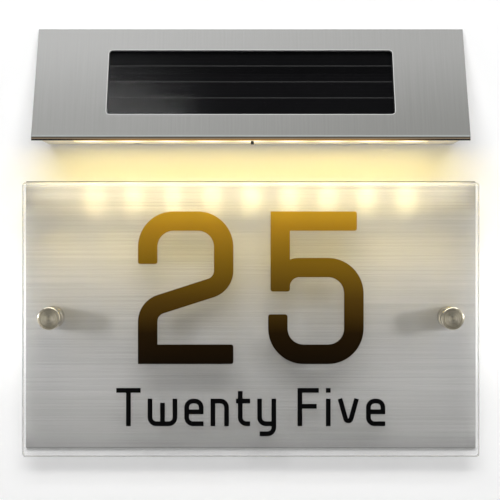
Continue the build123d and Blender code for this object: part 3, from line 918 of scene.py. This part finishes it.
@dataclass(frozen=True)
class CoverGlass(Finish):
    """Cover glass of the solar panel, with a matt anti-glare face."""

    tint: Colour = (0.006, 0.006, 0.007)
    ripple: Grain = Grain(45.0)
    shade: Span = Span(0.8, 0.4)
    roughness: Span = Span(0.105, 0.03)
    veil: Span = Span(0.1, 0.04)
    specular: float = 0.6
    relief: Relief = Relief(0.1 * MM, 0.2)

    def paint(self, tree: ShaderTree) -> Sockets:
        """A faint veil over the cells, with the glass's slight waviness.

        Args:
            tree: The material's nodes.

        Returns:
            Values and wires for the surface shader's inputs.
        """
        ripple = tree.noise(tree.place(), self.ripple)
        return {
            "Base Color": tree.shaded(self.tint, self.shade.by(ripple)),
            "Roughness": self.roughness.by(ripple),
            "Alpha": self.veil.by(ripple),
            "Specular IOR Level": self.specular,
            "Normal": tree.bump(ripple, self.relief),
        }


@dataclass(frozen=True)
class SolarCell(Finish):
    """Near-black silicon with fine printed fingers."""

    silicon: Colour = (0.0036, 0.0037, 0.0042)
    finger: Colour = (0.006, 0.0061, 0.0064)
    finger_pitch: float = 2.2 * MM
    finger_edge: Pair = (0.25 * MM, 0.1 * MM)
    mottle: Grain = Grain(120.0, 3.0)
    shade: Span = Span(0.8, 0.4)
    roughness: Span = Span(0.35, 0.15)
    specular: float = 0.01

    def paint(self, tree: ShaderTree) -> Sockets:
        """Level fingers across each cell, over a faint crystal mottle.

        Args:
            tree: The material's nodes.

        Returns:
            Values and wires for the surface shader's inputs.
        """
        here = tree.place()
        _, _, z = tree.split(here)
        mottle = tree.noise(here, self.mottle)
        fingers = tree.step(abs(z.wrapped(self.finger_pitch)), *self.finger_edge)
        cell = tree.shaded(self.silicon, self.shade.by(mottle))
        return {
            "Base Color": tree.mix(fingers, cell, self.finger),
            "Roughness": self.roughness.by(mottle),
            "Specular IOR Level": self.specular,
        }


@dataclass(frozen=True)
class ZincPlate(Finish):
    """Galvanised steel with its crystal spangle."""

    dark: Colour = (0.46, 0.47, 0.485)
    light: Colour = (0.58, 0.59, 0.605)
    spangle: float = 220.0
    grain: Grain = Grain(900.0, 3.0)
    spangle_share: float = 0.7
    grain_share: float = 0.3
    metallic: float = 0.9
    roughness: Span = Span(0.36, 0.12)
    relief: Relief = Relief(0.03 * MM, 0.3)

    def paint(self, tree: ShaderTree) -> Sockets:
        """Each crystal has a tone and a gloss of its own.

        Args:
            tree: The material's nodes.

        Returns:
            Values and wires for the surface shader's inputs.
        """
        here = tree.place()
        cells = tree.node("ShaderNodeTexVoronoi", None, {"Vector": here, "Scale": self.spangle})
        crystal, _, _ = tree.split(cells.out("Color"))
        grain = tree.noise(here, self.grain)
        tone = crystal * self.spangle_share + grain * self.grain_share
        return {
            "Base Color": tree.mix(tone, self.dark, self.light),
            "Metallic": self.metallic,
            "Roughness": self.roughness.by(crystal),
            "Normal": tree.bump(grain, self.relief),
        }


@dataclass(frozen=True)
class BatterySleeve(Finish):
    """Shrink sleeve of a rechargeable cell, with a plain coloured band and bare metal ends."""

    sleeve: Colour = (0.045, 0.16, 0.075)
    band: Colour = (0.74, 0.75, 0.73)
    metal: Colour = (0.66, 0.65, 0.62)
    end_bare: float = 0.7 * MM
    head_bare: Pair = (2.0 * MM, 1.6 * MM)
    band_width: float = 9.0 * MM
    band_edge: Pair = (4.0 * MM, 3.8 * MM)
    wrinkle: Grain = Grain(400.0)
    roughness: Span = Span(0.25, 0.15)
    relief: Relief = Relief(0.05 * MM, 0.2)

    def paint(self, tree: ShaderTree) -> Sockets:
        """Colours by place along the cell. Both cells share the pattern.

        Args:
            tree: The material's nodes.

        Returns:
            Values and wires for the surface shader's inputs.
        """
        here = tree.place()
        x, _, _ = tree.split(here)
        low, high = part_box("battery_right")
        length = high.x - low.x
        along = x % length
        to_head = length - along
        bare = tree.step(to_head, *self.head_bare).at_least(tree.step(along, self.end_bare, 0.0))
        banded = tree.step(to_head - self.band_width, *self.band_edge)
        wrinkle = tree.noise(here, self.wrinkle)
        return {
            "Base Color": tree.mix(bare, tree.mix(banded, self.sleeve, self.band), self.metal),
            "Metallic": bare,
            "Roughness": self.roughness.by(wrinkle),
            "Normal": tree.bump(wrinkle, self.relief),
        }


@dataclass(frozen=True)
class BoardMask(Finish):
    """White lacquered circuit board with tracks under the lacquer."""

    mask: Colour = (0.72, 0.74, 0.70)
    track: Colour = (0.60, 0.63, 0.56)
    core: Colour = (0.55, 0.47, 0.25)
    track_pitch: float = 3.2 * MM
    track_edge: Pair = (0.7 * MM, 0.5 * MM)
    turns: Grain = Grain(45.0, 1.0)
    turn_width: float = 4.0 * MM
    weave: Grain = Grain(2200.0)
    roughness: Span = Span(0.32, 0.15)
    relief: Relief = Relief(0.04 * MM, 0.4)
    relief_tracks: float = 0.8
    relief_weave: float = 0.2

    def paint(self, tree: ShaderTree) -> Sockets:
        """Tracks along the board on its faces, and bare glass fibre on its edges.

        Args:
            tree: The material's nodes.

        Returns:
            Values and wires for the surface shader's inputs.
        """
        here = tree.place()
        x, y, _ = tree.split(here)
        _, _, up = tree.facing()
        turns = tree.noise(tree.joined(x, 0.0, 0.0), self.turns)
        across = y + turns * self.turn_width
        tracks = tree.step(abs(across.wrapped(self.track_pitch)), *self.track_edge)
        weave = tree.noise(here, self.weave)
        lacquer = tree.mix(tracks, self.mask, self.track)
        return {
            "Base Color": tree.mix(tree.step(abs(up), *FACING), self.core, lacquer),
            "Roughness": self.roughness.by(weave),
            "Normal": tree.bump(tracks * self.relief_tracks + weave * self.relief_weave, self.relief),
        }


@dataclass(frozen=True)
class BoardParts(Finish):
    """Black moulded chip beside a wound copper coil."""

    chip: Colour = (0.02, 0.02, 0.022)
    copper: Colour = (0.62, 0.28, 0.12)
    winding: float = 0.45 * MM
    border: Pair = (38.0 * MM, 38.5 * MM)
    metallic: float = 0.9
    shade: Span = Span(0.7, 0.4)
    grain: Grain = Grain(3000.0)
    roughness: Span = Span(0.4, 0.2)
    relief: Relief = Relief(0.1 * MM, 0.5)

    def paint(self, tree: ShaderTree) -> Sockets:
        """The coil's wire turns show as rings up its side.

        Args:
            tree: The material's nodes.

        Returns:
            Values and wires for the surface shader's inputs.
        """
        here = tree.place()
        x, _, z = tree.split(here)
        coil = tree.step(x, *self.border)
        turns = z.wave(self.winding)
        grain = tree.noise(here, self.grain)
        wire = tree.shaded(self.copper, self.shade.by(turns))
        return {
            "Base Color": tree.mix(coil, self.chip, wire),
            "Metallic": coil * self.metallic,
            "Roughness": self.roughness.by(grain),
            "Normal": tree.bump(coil * turns, self.relief),
        }


def dress(finish: Finish, *names: str) -> None:
    """Give CAD nodes a finish.

    Args:
        finish: The finish that they take.
        names: The nodes' names.
    """
    for name in names:
        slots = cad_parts[name].material_slots
        for slot in slots:
            slot.material = finish.material()
        log.info("%s: %s", name, finish.name)


def soften(width: float, *names: str) -> None:
    """Round the sharp edges of CAD nodes a little, by modifiers alone.

    Args:
        width: Width of the rounding.
        names: The nodes' names.
    """
    for name in names:
        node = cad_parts[name]
        weld = node.modifiers.new("weld", "WELD")
        weld.merge_threshold = WELD
        bevel = node.modifiers.new("edge", "BEVEL")
        bevel.width = width
        bevel.segments = EDGE_SEGMENTS
        bevel.limit_method = "ANGLE"
        bevel.angle_limit = math.radians(EDGE_ANGLE)
        bevel.use_clamp_overlap = True
        shading = node.modifiers.new("shading", "WEIGHTED_NORMAL")
        shading.weight = NORMAL_WEIGHT


def piece_from(
    made: bmesh.types.BMesh, name: str, finish: Finish, sharp: float, place: Matrix = Matrix()
) -> bpy.types.Object:
    """Turn a mesh under construction into a piece that rides with the plaque.

    Args:
        made: The mesh, which is used up.
        name: The piece's name.
        finish: Its finish.
        sharp: Angle in degrees from which an edge stays sharp.
        place: Where the mesh's own frame goes.

    Returns:
        The new object.
    """
    bmesh.ops.recalc_face_normals(made, faces=made.faces)
    mesh = bpy.data.meshes.new(name)
    made.to_mesh(mesh)
    made.free()
    mesh.shade_smooth()
    mesh.set_sharp_from_angle(angle=math.radians(sharp))
    mesh.materials.append(finish.material())
    piece = bpy.data.objects.new(name, mesh)
    bpy.context.scene.collection.objects.link(piece)
    piece.matrix_world = place
    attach(piece, MAIN_BODY)
    log.info("%s: %d faces, %s", name, len(mesh.polygons), finish.name)
    return piece


def lathe(made: bmesh.types.BMesh, profile: Profile, segments: int) -> list[bmesh.types.BMVert]:
    """Turn a profile about the Z axis.

    Args:
        made: The mesh that takes the faces.
        profile: (radius, height) points from the foot to the head. A radius of 0 closes an end.
        segments: Number of sides.

    Returns:
        The vertices of the last ring, which is left open unless its radius is 0.
    """
    last: list[bmesh.types.BMVert] = []
    for radius, height in profile:
        if radius == 0.0:
            ring = [made.verts.new((0.0, 0.0, height))]
        else:
            turns = [2 * math.pi * i / segments for i in range(segments)]
            ring = [made.verts.new((radius * math.cos(t), radius * math.sin(t), height)) for t in turns]
        for i in range(segments if last else 0):
            corners = [last[i % len(last)], last[(i + 1) % len(last)]]
            corners += [ring[(i + 1) % len(ring)], ring[i % len(ring)]]
            made.faces.new(list(dict.fromkeys(corners)))
        last = ring
    return last


@dataclass
class Plaque:
    """Back plate, clear panel, digits and words."""

    plate_edge: float = 0.25 * MM
    digit_edge: float = 0.35 * MM
    word_edge: float = 0.2 * MM
    words: Finish = Moulded(
        "word_lacquer", (0.0008, 0.0008, 0.0009), grain=3500.0, rough=0.6, relief=0.02 * MM, tone=0.3,
        specular=0.03,
    )

    def dress(self) -> None:
        """Give each piece its finish and its softened edges."""
        dress(BrushedPlate("brushed_back_plate"), "back_plate")
        dress(ClearAcrylic("clear_acrylic"), "front_panel")
        dress(DigitLacquer("digit_lacquer"), *DIGITS)
        dress(self.words, "number_words")
        soften(self.plate_edge, "back_plate")
        soften(self.digit_edge, *DIGITS)
        soften(self.word_edge, "number_words")


@dataclass
class Standoff:
    """One turned standoff: barrel, cap and the washers that hold the clear panel."""

    side: Side
    segments: int = 96
    edge: float = 0.5 * MM
    edge_steps: int = 5
    face_rings: int = 6
    bore: float = 4.0 * MM
    stud_radius: float = 3.9 * MM
    stud_lead: float = 0.4 * MM
    seat_edge: float = 0.25 * MM
    sharp: float = 35.0
    steel: Finish = TurnedSteel("turned_standoff_steel")
    nylon: Finish = Moulded(
        "clear_nylon", (0.70, 0.69, 0.64), grain=1200.0, rough=0.4, relief=0.03 * MM, tone=0.15,
    )

    def _rounded(self, radius: float, height: float, direction: int) -> Profile:
        """Round an outer edge.

        Args:
            radius: Outer radius.
            height: Height of the end that the edge leads to.
            direction: 1 for a head and -1 for a foot.

        Returns:
            The edge's points, from the lowest to the highest.
        """
        points = []
        for i in range(self.edge_steps + 1):
            turn = math.pi / 2 * i / self.edge_steps
            out = radius - self.edge + self.edge * math.cos(turn)
            points.append((out, height - direction * self.edge * (1 - math.sin(turn))))
        return points[::direction]

    def _turn(self, profile: Profile, node: str, name: str) -> None:
        """Turn a piece and put it in the place of a node, with its head to the viewer.

        Args:
            profile: The piece's (radius, depth) points.
            node: The node that it replaces.
            name: The piece's name without its side.
        """
        low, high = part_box(node)
        made = bmesh.new()
        lathe(made, profile, self.segments)
        bmesh.ops.remove_doubles(made, verts=made.verts, dist=WELD)
        centre = Vector(((low.x + high.x) / 2, 0.0, (low.z + high.z) / 2))
        place = Matrix.Translation(centre) @ Matrix.Rotation(math.radians(90), 4, "X")
        piece = piece_from(made, f"{name}_{self.side.value}", self.steel, self.sharp, place)
        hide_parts(node)

    def build_cap(self) -> None:
        """Turn the cap: stud, side, rounded edge and face."""
        node = f"standoff_cap_{self.side.value}"
        low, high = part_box(node)
        radius = (high.x - low.x) / 2
        foot, front = -high.y, -low.y
        seat = -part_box(f"front_washer_{self.side.value}")[0].y
        profile: Profile = [(0.0, foot), (self.stud_radius - self.stud_lead, foot)]
        profile += [(self.stud_radius, foot + self.stud_lead), (self.stud_radius, seat)]
        profile += [(radius - self.seat_edge, seat), (radius, seat + self.seat_edge)]
        profile += self._rounded(radius, front, 1)
        flat = radius - self.edge
        profile += [(flat * i / self.face_rings, front) for i in range(self.face_rings - 1, -1, -1)]
        self._turn(profile, node, "turned_cap")

    def build_barrel(self) -> None:
        """Turn the barrel: a tube with rounded ends, bored for the cap's stud."""
        node = f"standoff_barrel_{self.side.value}"
        low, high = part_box(node)
        radius = (high.x - low.x) / 2
        foot, head = -high.y, -low.y
        profile: Profile = [(self.bore, foot)]
        profile += self._rounded(radius, foot, -1) + self._rounded(radius, head, 1)
        profile += [(self.bore, head), (self.bore, foot)]
        self._turn(profile, node, "turned_barrel")

    def dress(self) -> None:
        """Build the turned pieces and give the washers their finish."""
        self.build_cap()
        self.build_barrel()
        dress(self.nylon, f"back_washer_{self.side.value}", f"front_washer_{self.side.value}")


@dataclass
class LampHood:
    """Folded hood with the solar panel in its window."""

    sheet_edge: float = 0.3 * MM
    foam: Finish = Moulded(
        "panel_foam", (0.006, 0.006, 0.006), grain=1800.0, rough=0.85, relief=0.1 * MM, tone=0.4,
    )
    backing: Finish = Moulded("panel_backing", (0.009, 0.0092, 0.0092), grain=900.0, rough=0.6, tone=0.2)

    def dress(self) -> None:
        """Give the hood and the solar panel's layers their finishes."""
        dress(BrushedHood("brushed_hood_sheet"), "hood")
        soften(self.sheet_edge, "hood")
        dress(self.foam, "panel_gasket")
        dress(CoverGlass("panel_glass"), "solar_glass")
        dress(SolarCell("silicon_cells"), "solar_cells")
        dress(self.backing, "solar_board")


@dataclass
class ScrewSet:
    """A pair of countersunk screws with cross recesses, in place of one node."""

    node: str
    axis: Vector
    shank_radius: float
    head_radius: float
    segments: int = 36
    recess_share: float = 0.62
    recess_depth_share: float = 0.75
    recess_taper: float = 0.85
    arm_share: float = 0.32
    tip_share: float = 0.6
    thread_pitch: float = 0.5 * MM
    thread_depth: float = 0.12 * MM
    sharp: float = 30.0

    def _recess_outline(self) -> list[Pair]:
        """Draw the cross recess, seen from the head.

        Returns:
            The cross's corners, in order.
        """
        reach = self.head_radius * self.recess_share
        arm = reach * self.arm_share
        quarter = [(reach, -arm), (reach, arm), (arm, arm)]
        corners = []
        for turn in range(4):
            c, s = round(math.cos(turn * math.pi / 2)), round(math.sin(turn * math.pi / 2))
            corners += [(c * x - s * y, s * x + c * y) for x, y in quarter]
        return corners

    def _screw(self, made: bmesh.types.BMesh, length: float) -> list[bmesh.types.BMVert]:
        """Build one screw along Z, with its head's face at a height of 0 and its tip below.

        Args:
            made: The mesh that takes the faces.
            length: Length from head to tip.

        Returns:
            The screw's vertices.
        """
        cone = self.head_radius - self.shank_radius
        before = set(made.verts)
        profile: Profile = [(0.0, -length), (self.shank_radius * self.tip_share, -length)]
        for i in range(int((length - cone) / self.thread_pitch)):
            crest = -length + (i + 0.5) * self.thread_pitch
            profile.append((self.shank_radius, crest))
            profile.append((self.shank_radius - self.thread_depth, crest + self.thread_pitch / 2))
        profile += [(self.shank_radius, -cone), (self.head_radius, 0.0)]
        rim = lathe(made, profile, self.segments)
        depth = cone * self.recess_depth_share
        taper = self.recess_taper
        outline = self._recess_outline()
        upper = [made.verts.new((x, y, 0.0)) for x, y in outline]
        lower = [made.verts.new((x * taper, y * taper, -depth)) for x, y in outline]
        count = len(outline)
        edges = [made.edges.get((rim[i], rim[(i + 1) % len(rim)])) for i in range(len(rim))]
        edges += [made.edges.new((upper[i], upper[(i + 1) % count])) for i in range(count)]
        bmesh.ops.bridge_loops(made, edges=edges)
        for i in range(count):
            made.faces.new((upper[i], upper[(i + 1) % count], lower[(i + 1) % count], lower[i]))
        made.faces.new(lower)
        return [vert for vert in made.verts if vert not in before]

    def build(self, finish: Finish) -> None:
        """Place both screws where the node's own are.

        Args:
            finish: The screws' finish.
        """
        low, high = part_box(self.node)
        length = abs((high - low).dot(self.axis))
        head = (low + high) / 2 + self.axis * (length / 2)
        made = bmesh.new()
        turn = Vector((0, 0, 1)).rotation_difference(self.axis).to_matrix().to_4x4()
        for x in (low.x + self.head_radius, high.x - self.head_radius):
            verts = self._screw(made, length)
            place = Matrix.Translation((x, head.y, head.z)) @ turn
            bmesh.ops.transform(made, matrix=place, verts=verts)
        piece = piece_from(made, f"{self.node}_driven", finish, self.sharp)
        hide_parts(self.node)


@dataclass
class LampRow:
    """Places of the small lamps along X."""

    first: float
    last: float
    count: int = 9
    lamp_width: float = 2.8 * MM

    @classmethod
    def from_frame(cls) -> "LampRow":
        """Read the row's ends from the lamps' own node."""
        low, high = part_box("leds")
        return cls(low.x + cls.lamp_width / 2, high.x - cls.lamp_width / 2)

    @property
    def pitch(self) -> float:
        """Distance from one lamp to the next."""
        return (self.last - self.first) / (self.count - 1)

    def places(self) -> list[float]:
        """X of each lamp, from left to right."""
        return [self.first + i * self.pitch for i in range(self.count)]


@dataclass
class LampCase:
    """Case behind the hood, with everything that it carries."""

    lever_edge: float = 0.2 * MM
    door_edge: float = 0.3 * MM
    lock_screw: Pair = (1.4 * MM, 2.8 * MM)
    door_screw: Pair = (1.1 * MM, 2.1 * MM)
    plastic: Finish = CasePlastic("case_plastic", (0.40, 0.39, 0.36), tone=0.1)
    steel: Finish = Moulded(
        "screw_steel", (0.50, 0.50, 0.49), grain=2500.0, rough=0.3, relief=0.02 * MM, tone=0.3, metallic=1.0,
    )
    nickel: Finish = Moulded(
        "contact_nickel", (0.66, 0.60, 0.47), grain=1800.0, rough=0.28, relief=0.02 * MM, tone=0.2,
        metallic=1.0,
    )
    black: Finish = Moulded("switch_black", (0.018, 0.018, 0.019), grain=2500.0, relief=0.03 * MM, tone=0.2)

    def dress(self) -> None:
        """Give the case, its plate, its board and its cells their finishes."""
        dress(self.plastic, "case", "battery_door")
        dress(ZincPlate("zinc_plate_spangled"), "wall_plate")
        dress(self.steel, "hood_nuts", "board_screws")
        dress(self.nickel, "solar_pins", "battery_contacts")
        dress(BatterySleeve("battery_sleeve"), "battery_left", "battery_right")
        dress(BoardMask("board_mask"), "circuit_board")
        dress(BoardParts("board_chip_and_coil"), "board_parts")
        dress(LampChip("lamp_chip"), "leds")
        dress(FrostedLens("frosted_lens"), "led_lens")
        dress(self.black, "switch_body", "switch_lever")
        soften(self.lever_edge, "switch_lever")
        soften(self.door_edge, "battery_door")
        ScrewSet("lock_screws", Vector((0, 0, -1)), *self.lock_screw).build(self.steel)
        ScrewSet("door_screws", Vector((0, 1, 0)), *self.door_screw).build(self.steel)


@dataclass(frozen=True)
class StageWhite:
    """White wall or floor that is seen from its front only, so that the object shows from behind."""

    name: str
    colour: Colour = (0.93, 0.93, 0.93)
    lift: float = 0.06

    def material(self) -> bpy.types.Material:
        """Make a diffuse white with a lift for the rays that show it, and clear from its back.

        Returns:
            The material.
        """
        made = bpy.data.materials.new(self.name)
        tree = ShaderTree(made)
        path = tree.node("ShaderNodeLightPath")
        shown = path.out("Is Camera Ray") + path.out("Is Glossy Ray") + path.out("Is Transmission Ray")
        paint = tree.node("ShaderNodeBsdfDiffuse", None, {"Color": rgba(self.colour)})
        lift = tree.node("ShaderNodeEmission", None, {"Strength": shown.at_most(1.0) * self.lift})
        lit = tree.node("ShaderNodeAddShader", None, {0: paint, 1: lift})
        clear = tree.node("ShaderNodeBsdfTransparent")
        away = tree.node("ShaderNodeNewGeometry").out("Backfacing").at_least(path.out("Is Shadow Ray"))
        surface = tree.node("ShaderNodeMixShader", None, {0: away, 1: lit, 2: clear})
        tree.node("ShaderNodeOutputMaterial", None, {"Surface": surface})
        return made


@dataclass(frozen=True)
class Beam:
    """A cone of light on the plate: power, spread in degrees, height of its aim and radius of its source."""

    name: str
    power: float
    spread: float
    height: float
    radius: float


@dataclass
class Studio:
    """Wall, floor, light and camera."""

    # Wall and floor
    wall: StageWhite = StageWhite("stage_wall")
    wall_gap: float = 0.2 * MM
    wall_half: float = 1.6
    floor: StageWhite = StageWhite("stage_floor", (0.75, 0.75, 0.75), 0.28)
    floor_height: float = -1.3

    # Surroundings, as shares of white
    white: Colour = (1.0, 1.0, 1.0)
    ambient: float = 0.064
    around: float = 0.256
    zenith: float = 0.032
    zenith_range: Pair = (0.2, 0.7)
    panel: float = 1.36
    panel_slant: float = 0.3
    panel_height: Pair = (0.4, 0.15)
    panel_start: Pair = (0.2, 0.34)

    # Camera, with its lens and sensor in millimetres
    eye: Triple = (-0.0005, -1.0, 0.0447)
    lens: float = 107.7
    sensor: float = 36.0

    # Lights of the room, those at the sides given for the right
    middle: Triple = (0.0, 0.0, 0.04)
    key_place: Triple = (-0.03, -2.05, 1.72)
    key_power: float = 79.0
    key_size: Pair = (2.9, 1.0)
    side_place: Triple = (0.85, -0.6, 0.05)
    side_power: float = 0.6
    side_size: float = 0.3
    rake_place: Triple = (0.384, -0.226, 0.04)
    rake_target: Triple = (0.108, 0.0, -0.003)
    rake_power: float = 6.4
    rake_spread: float = 13.0
    rake_radius: float = 0.045
    glint_left: Triple = (-0.230, -0.452, 0.813)
    glint_aim: Triple = (0.11, 0.426, -0.675)
    glint_widths: Pair = (0.11, 0.155)
    glint_height: float = 0.072
    glint_power: float = 1.7
    behind_place: Triple = (0.5, 1.6, 0.7)
    behind_power: float = 24.0
    behind_size: float = 1.0

    # Light of the object's own lamp
    lamp_colour: Colour = (1.0, 0.74, 0.14)
    spot_colour: Colour = (1.0, 0.87, 0.48)
    strip_half: float = 141.0 * MM
    strip_width: float = 6.0 * MM
    strip_drop: float = 1.5 * MM
    strip_aim: Triple = (0.0, 0.08, -0.99)
    strip_power: float = 0.083
    spots: tuple[Beam, ...] = (
        Beam("core", 0.060, 22.0, 76.5 * MM, 0.8 * MM),
        Beam("halo", 0.046, 46.0, 61.0 * MM, 0.8 * MM),
    )
    spot_drop: float = 0.5 * MM
    wash: Beam = Beam("wash", 0.104, 49.0, 49.0 * MM, 8.0 * MM)
    wash_depth: float = 60.0 * MM
    wash_drop: float = 3.0 * MM

    def build_stage(self) -> None:
        """Hang the wall behind the object and lay the floor below it."""
        half = self.wall_half
        square = [(-half, -half), (half, -half), (half, half), (-half, half)]
        wall = [(across, self.wall_gap, up) for across, up in square]
        floor = [(across, along, self.floor_height) for across, along in square]
        for paint, corners in ((self.wall, wall), (self.floor, floor)):
            mesh = bpy.data.meshes.new(paint.name)
            mesh.from_pydata(corners, [], [range(len(corners))])
            mesh.materials.append(paint.material())
            sheet = bpy.data.objects.new(paint.name, mesh)
            bpy.context.scene.collection.objects.link(sheet)

    def build_world(self) -> None:
        """White for the camera, soft for the object, and two bright panels in reflections."""
        world = bpy.data.worlds.new("studio")
        bpy.context.scene.world = world
        tree = ShaderTree(world)
        path = tree.node("ShaderNodeLightPath")
        across, _, up = tree.split(tree.node("ShaderNodeTexCoord").out("Generated"))
        dome = self.around + tree.step(up, *self.zenith_range) * (self.zenith - self.around)
        panels = tree.step(abs(up - across * self.panel_slant), *self.panel_height)
        panels = panels * tree.step(abs(across), *self.panel_start)
        sky = dome + panels * self.panel
        camera = path.out("Is Camera Ray")
        glossy = path.out("Is Glossy Ray").at_least(path.out("Is Transmission Ray"))
        strength = camera + (1 - camera) * (glossy * sky + (1 - glossy) * self.ambient)
        sockets = {"Color": rgba(self.white), "Strength": strength}
        back = tree.node("ShaderNodeBackground", None, sockets)
        tree.node("ShaderNodeOutputWorld", None, {"Surface": back})

    @staticmethod
    def _lamp(
        name: str, kind: LampKind, place: Vector, target: Vector, **settings: Any
    ) -> bpy.types.Object:
        """Add one lamp that looks at a target.

        Args:
            name: The lamp's name.
            kind: How it throws its light.
            place: Where it hangs.
            target: Where it looks.
            settings: The light's own properties, such as its energy and size.

        Returns:
            The lamp.
        """
        light = bpy.data.lights.new(name, kind.value)
        for key, value in settings.items():
            setattr(light, key, value)
        lamp = bpy.data.objects.new(name, light)
        lamp.location = place
        lamp.rotation_euler = (target - place).to_track_quat("-Z", "Y").to_euler()
        bpy.context.scene.collection.objects.link(lamp)
        return lamp

    def _beam(self, beam: Beam, i: int, place: Vector, colour: Colour) -> bpy.types.Object:
        """Add one of the lamp's own beams, aimed straight ahead at the plate.

        Args:
            beam: The beam's power and shape.
            i: Its number in its row.
            place: Where it starts.
            colour: Its colour.

        Returns:
            The beam's lamp.
        """
        target = Vector((place.x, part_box("back_plate")[0].y, beam.height))
        return self._lamp(
            f"lamp_{beam.name}_{i}", LampKind.SPOT, place, target, energy=beam.power, color=colour,
            spot_size=math.radians(beam.spread), spot_blend=1.0, shadow_soft_size=beam.radius,
        )

    @staticmethod
    def _let_pass(lamp: bpy.types.Object, *names: str) -> None:
        """Leave pieces out of a lamp's shadows.

        Args:
            lamp: The lamp whose light passes them.
            names: The pieces' names.
        """
        passed = bpy.data.collections.new(f"{lamp.name}_passes")
        for name in names:
            passed.objects.link(bpy.data.objects[name])
        for item in passed.collection_objects:
            item.light_linking.link_state = "EXCLUDE"
        lamp.light_linking.blocker_collection = passed

    def build_room_lights(self) -> None:
        """Soft key from above, low lights at both sides, glints for the hood, and a fill behind."""
        middle = Vector(self.middle)
        width, height = self.key_size
        key = self._lamp(
            "key", LampKind.AREA, Vector(self.key_place), middle, energy=self.key_power,
            shape="RECTANGLE", size=width, size_y=height,
        )
        turned = [f"turned_{part}_{side.value}" for part in ("cap", "barrel") for side in Side]
        self._let_pass(key, *turned)
        for side in (-1, 1):
            mirror = Matrix.Diagonal((side, 1, 1))
            self._lamp(
                f"side_{side}", LampKind.AREA, mirror @ Vector(self.side_place), middle,
                energy=self.side_power, size=self.side_size,
            )
            rake = self._lamp(
                f"rake_{side}", LampKind.SPOT, mirror @ Vector(self.rake_place),
                mirror @ Vector(self.rake_target), energy=self.rake_power,
                spot_size=math.radians(self.rake_spread), spot_blend=1.0,
                shadow_soft_size=self.rake_radius,
            )
            self._let_pass(rake, "front_panel")
        aim = Vector(self.glint_aim)
        turn = aim.to_track_quat("-Z", "Y")
        for i, width in enumerate(self.glint_widths):
            glint = Vector(self.glint_left) + turn @ Vector((width / 2, 0.0, 0.0))
            self._lamp(
                f"glint_{i}", LampKind.AREA, glint, glint + aim, energy=self.glint_power * width,
                shape="RECTANGLE", size=width, size_y=self.glint_height,
            )
        self._lamp(
            "behind", LampKind.AREA, Vector(self.behind_place), middle, energy=self.behind_power,
            size=self.behind_size,
        )

    def build_lamp_light(self) -> None:
        """The lamp's own light: a strip for the wall, spots below the small lamps, and a wash below."""
        low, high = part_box("led_lens")
        depth = (low.y + high.y) / 2
        strip = Vector((0.0, depth, low.z - self.strip_drop))
        self._lamp(
            "lamp_strip", LampKind.AREA, strip, strip + Vector(self.strip_aim), energy=self.strip_power,
            color=self.lamp_colour, shape="RECTANGLE", size=2 * self.strip_half, size_y=self.strip_width,
        )
        for i, x in enumerate(LampRow.from_frame().places()):
            for spot in self.spots:
                self._beam(spot, i, Vector((x, depth, low.z - self.spot_drop)), self.spot_colour)
        for i, x in enumerate(LampRow(-self.strip_half, self.strip_half).places()):
            place = Vector((x, -self.wash_depth, low.z - self.wash_drop))
            wash = self._beam(self.wash, i, place, self.lamp_colour)
            self._let_pass(wash, *DIGITS)

    def build_camera(self) -> None:
        """Straight view at the wall, at the photograph's distance."""
        data = bpy.data.cameras.new("view")
        data.lens = self.lens
        data.sensor_width = self.sensor
        camera = bpy.data.objects.new("view", data)
        camera.location = self.eye
        camera.rotation_euler = (math.radians(90), 0.0, 0.0)
        bpy.context.scene.collection.objects.link(camera)
        bpy.context.scene.camera = camera

    def build(self) -> None:
        """Make the whole setting."""
        self.build_stage()
        self.build_world()
        self.build_room_lights()
        self.build_lamp_light()
        self.build_camera()
        bpy.context.scene.view_settings.view_transform = "Standard"


def main() -> None:
    """Dress the plaque and its lamp, then set up the view."""
    logging.basicConfig(level=logging.INFO, format="%(name)s %(message)s")
    Plaque().dress()
    for side in Side:
        Standoff(side).dress()
    LampHood().dress()
    LampCase().dress()
    Studio().build()


if __name__ == "__main__":
    main()
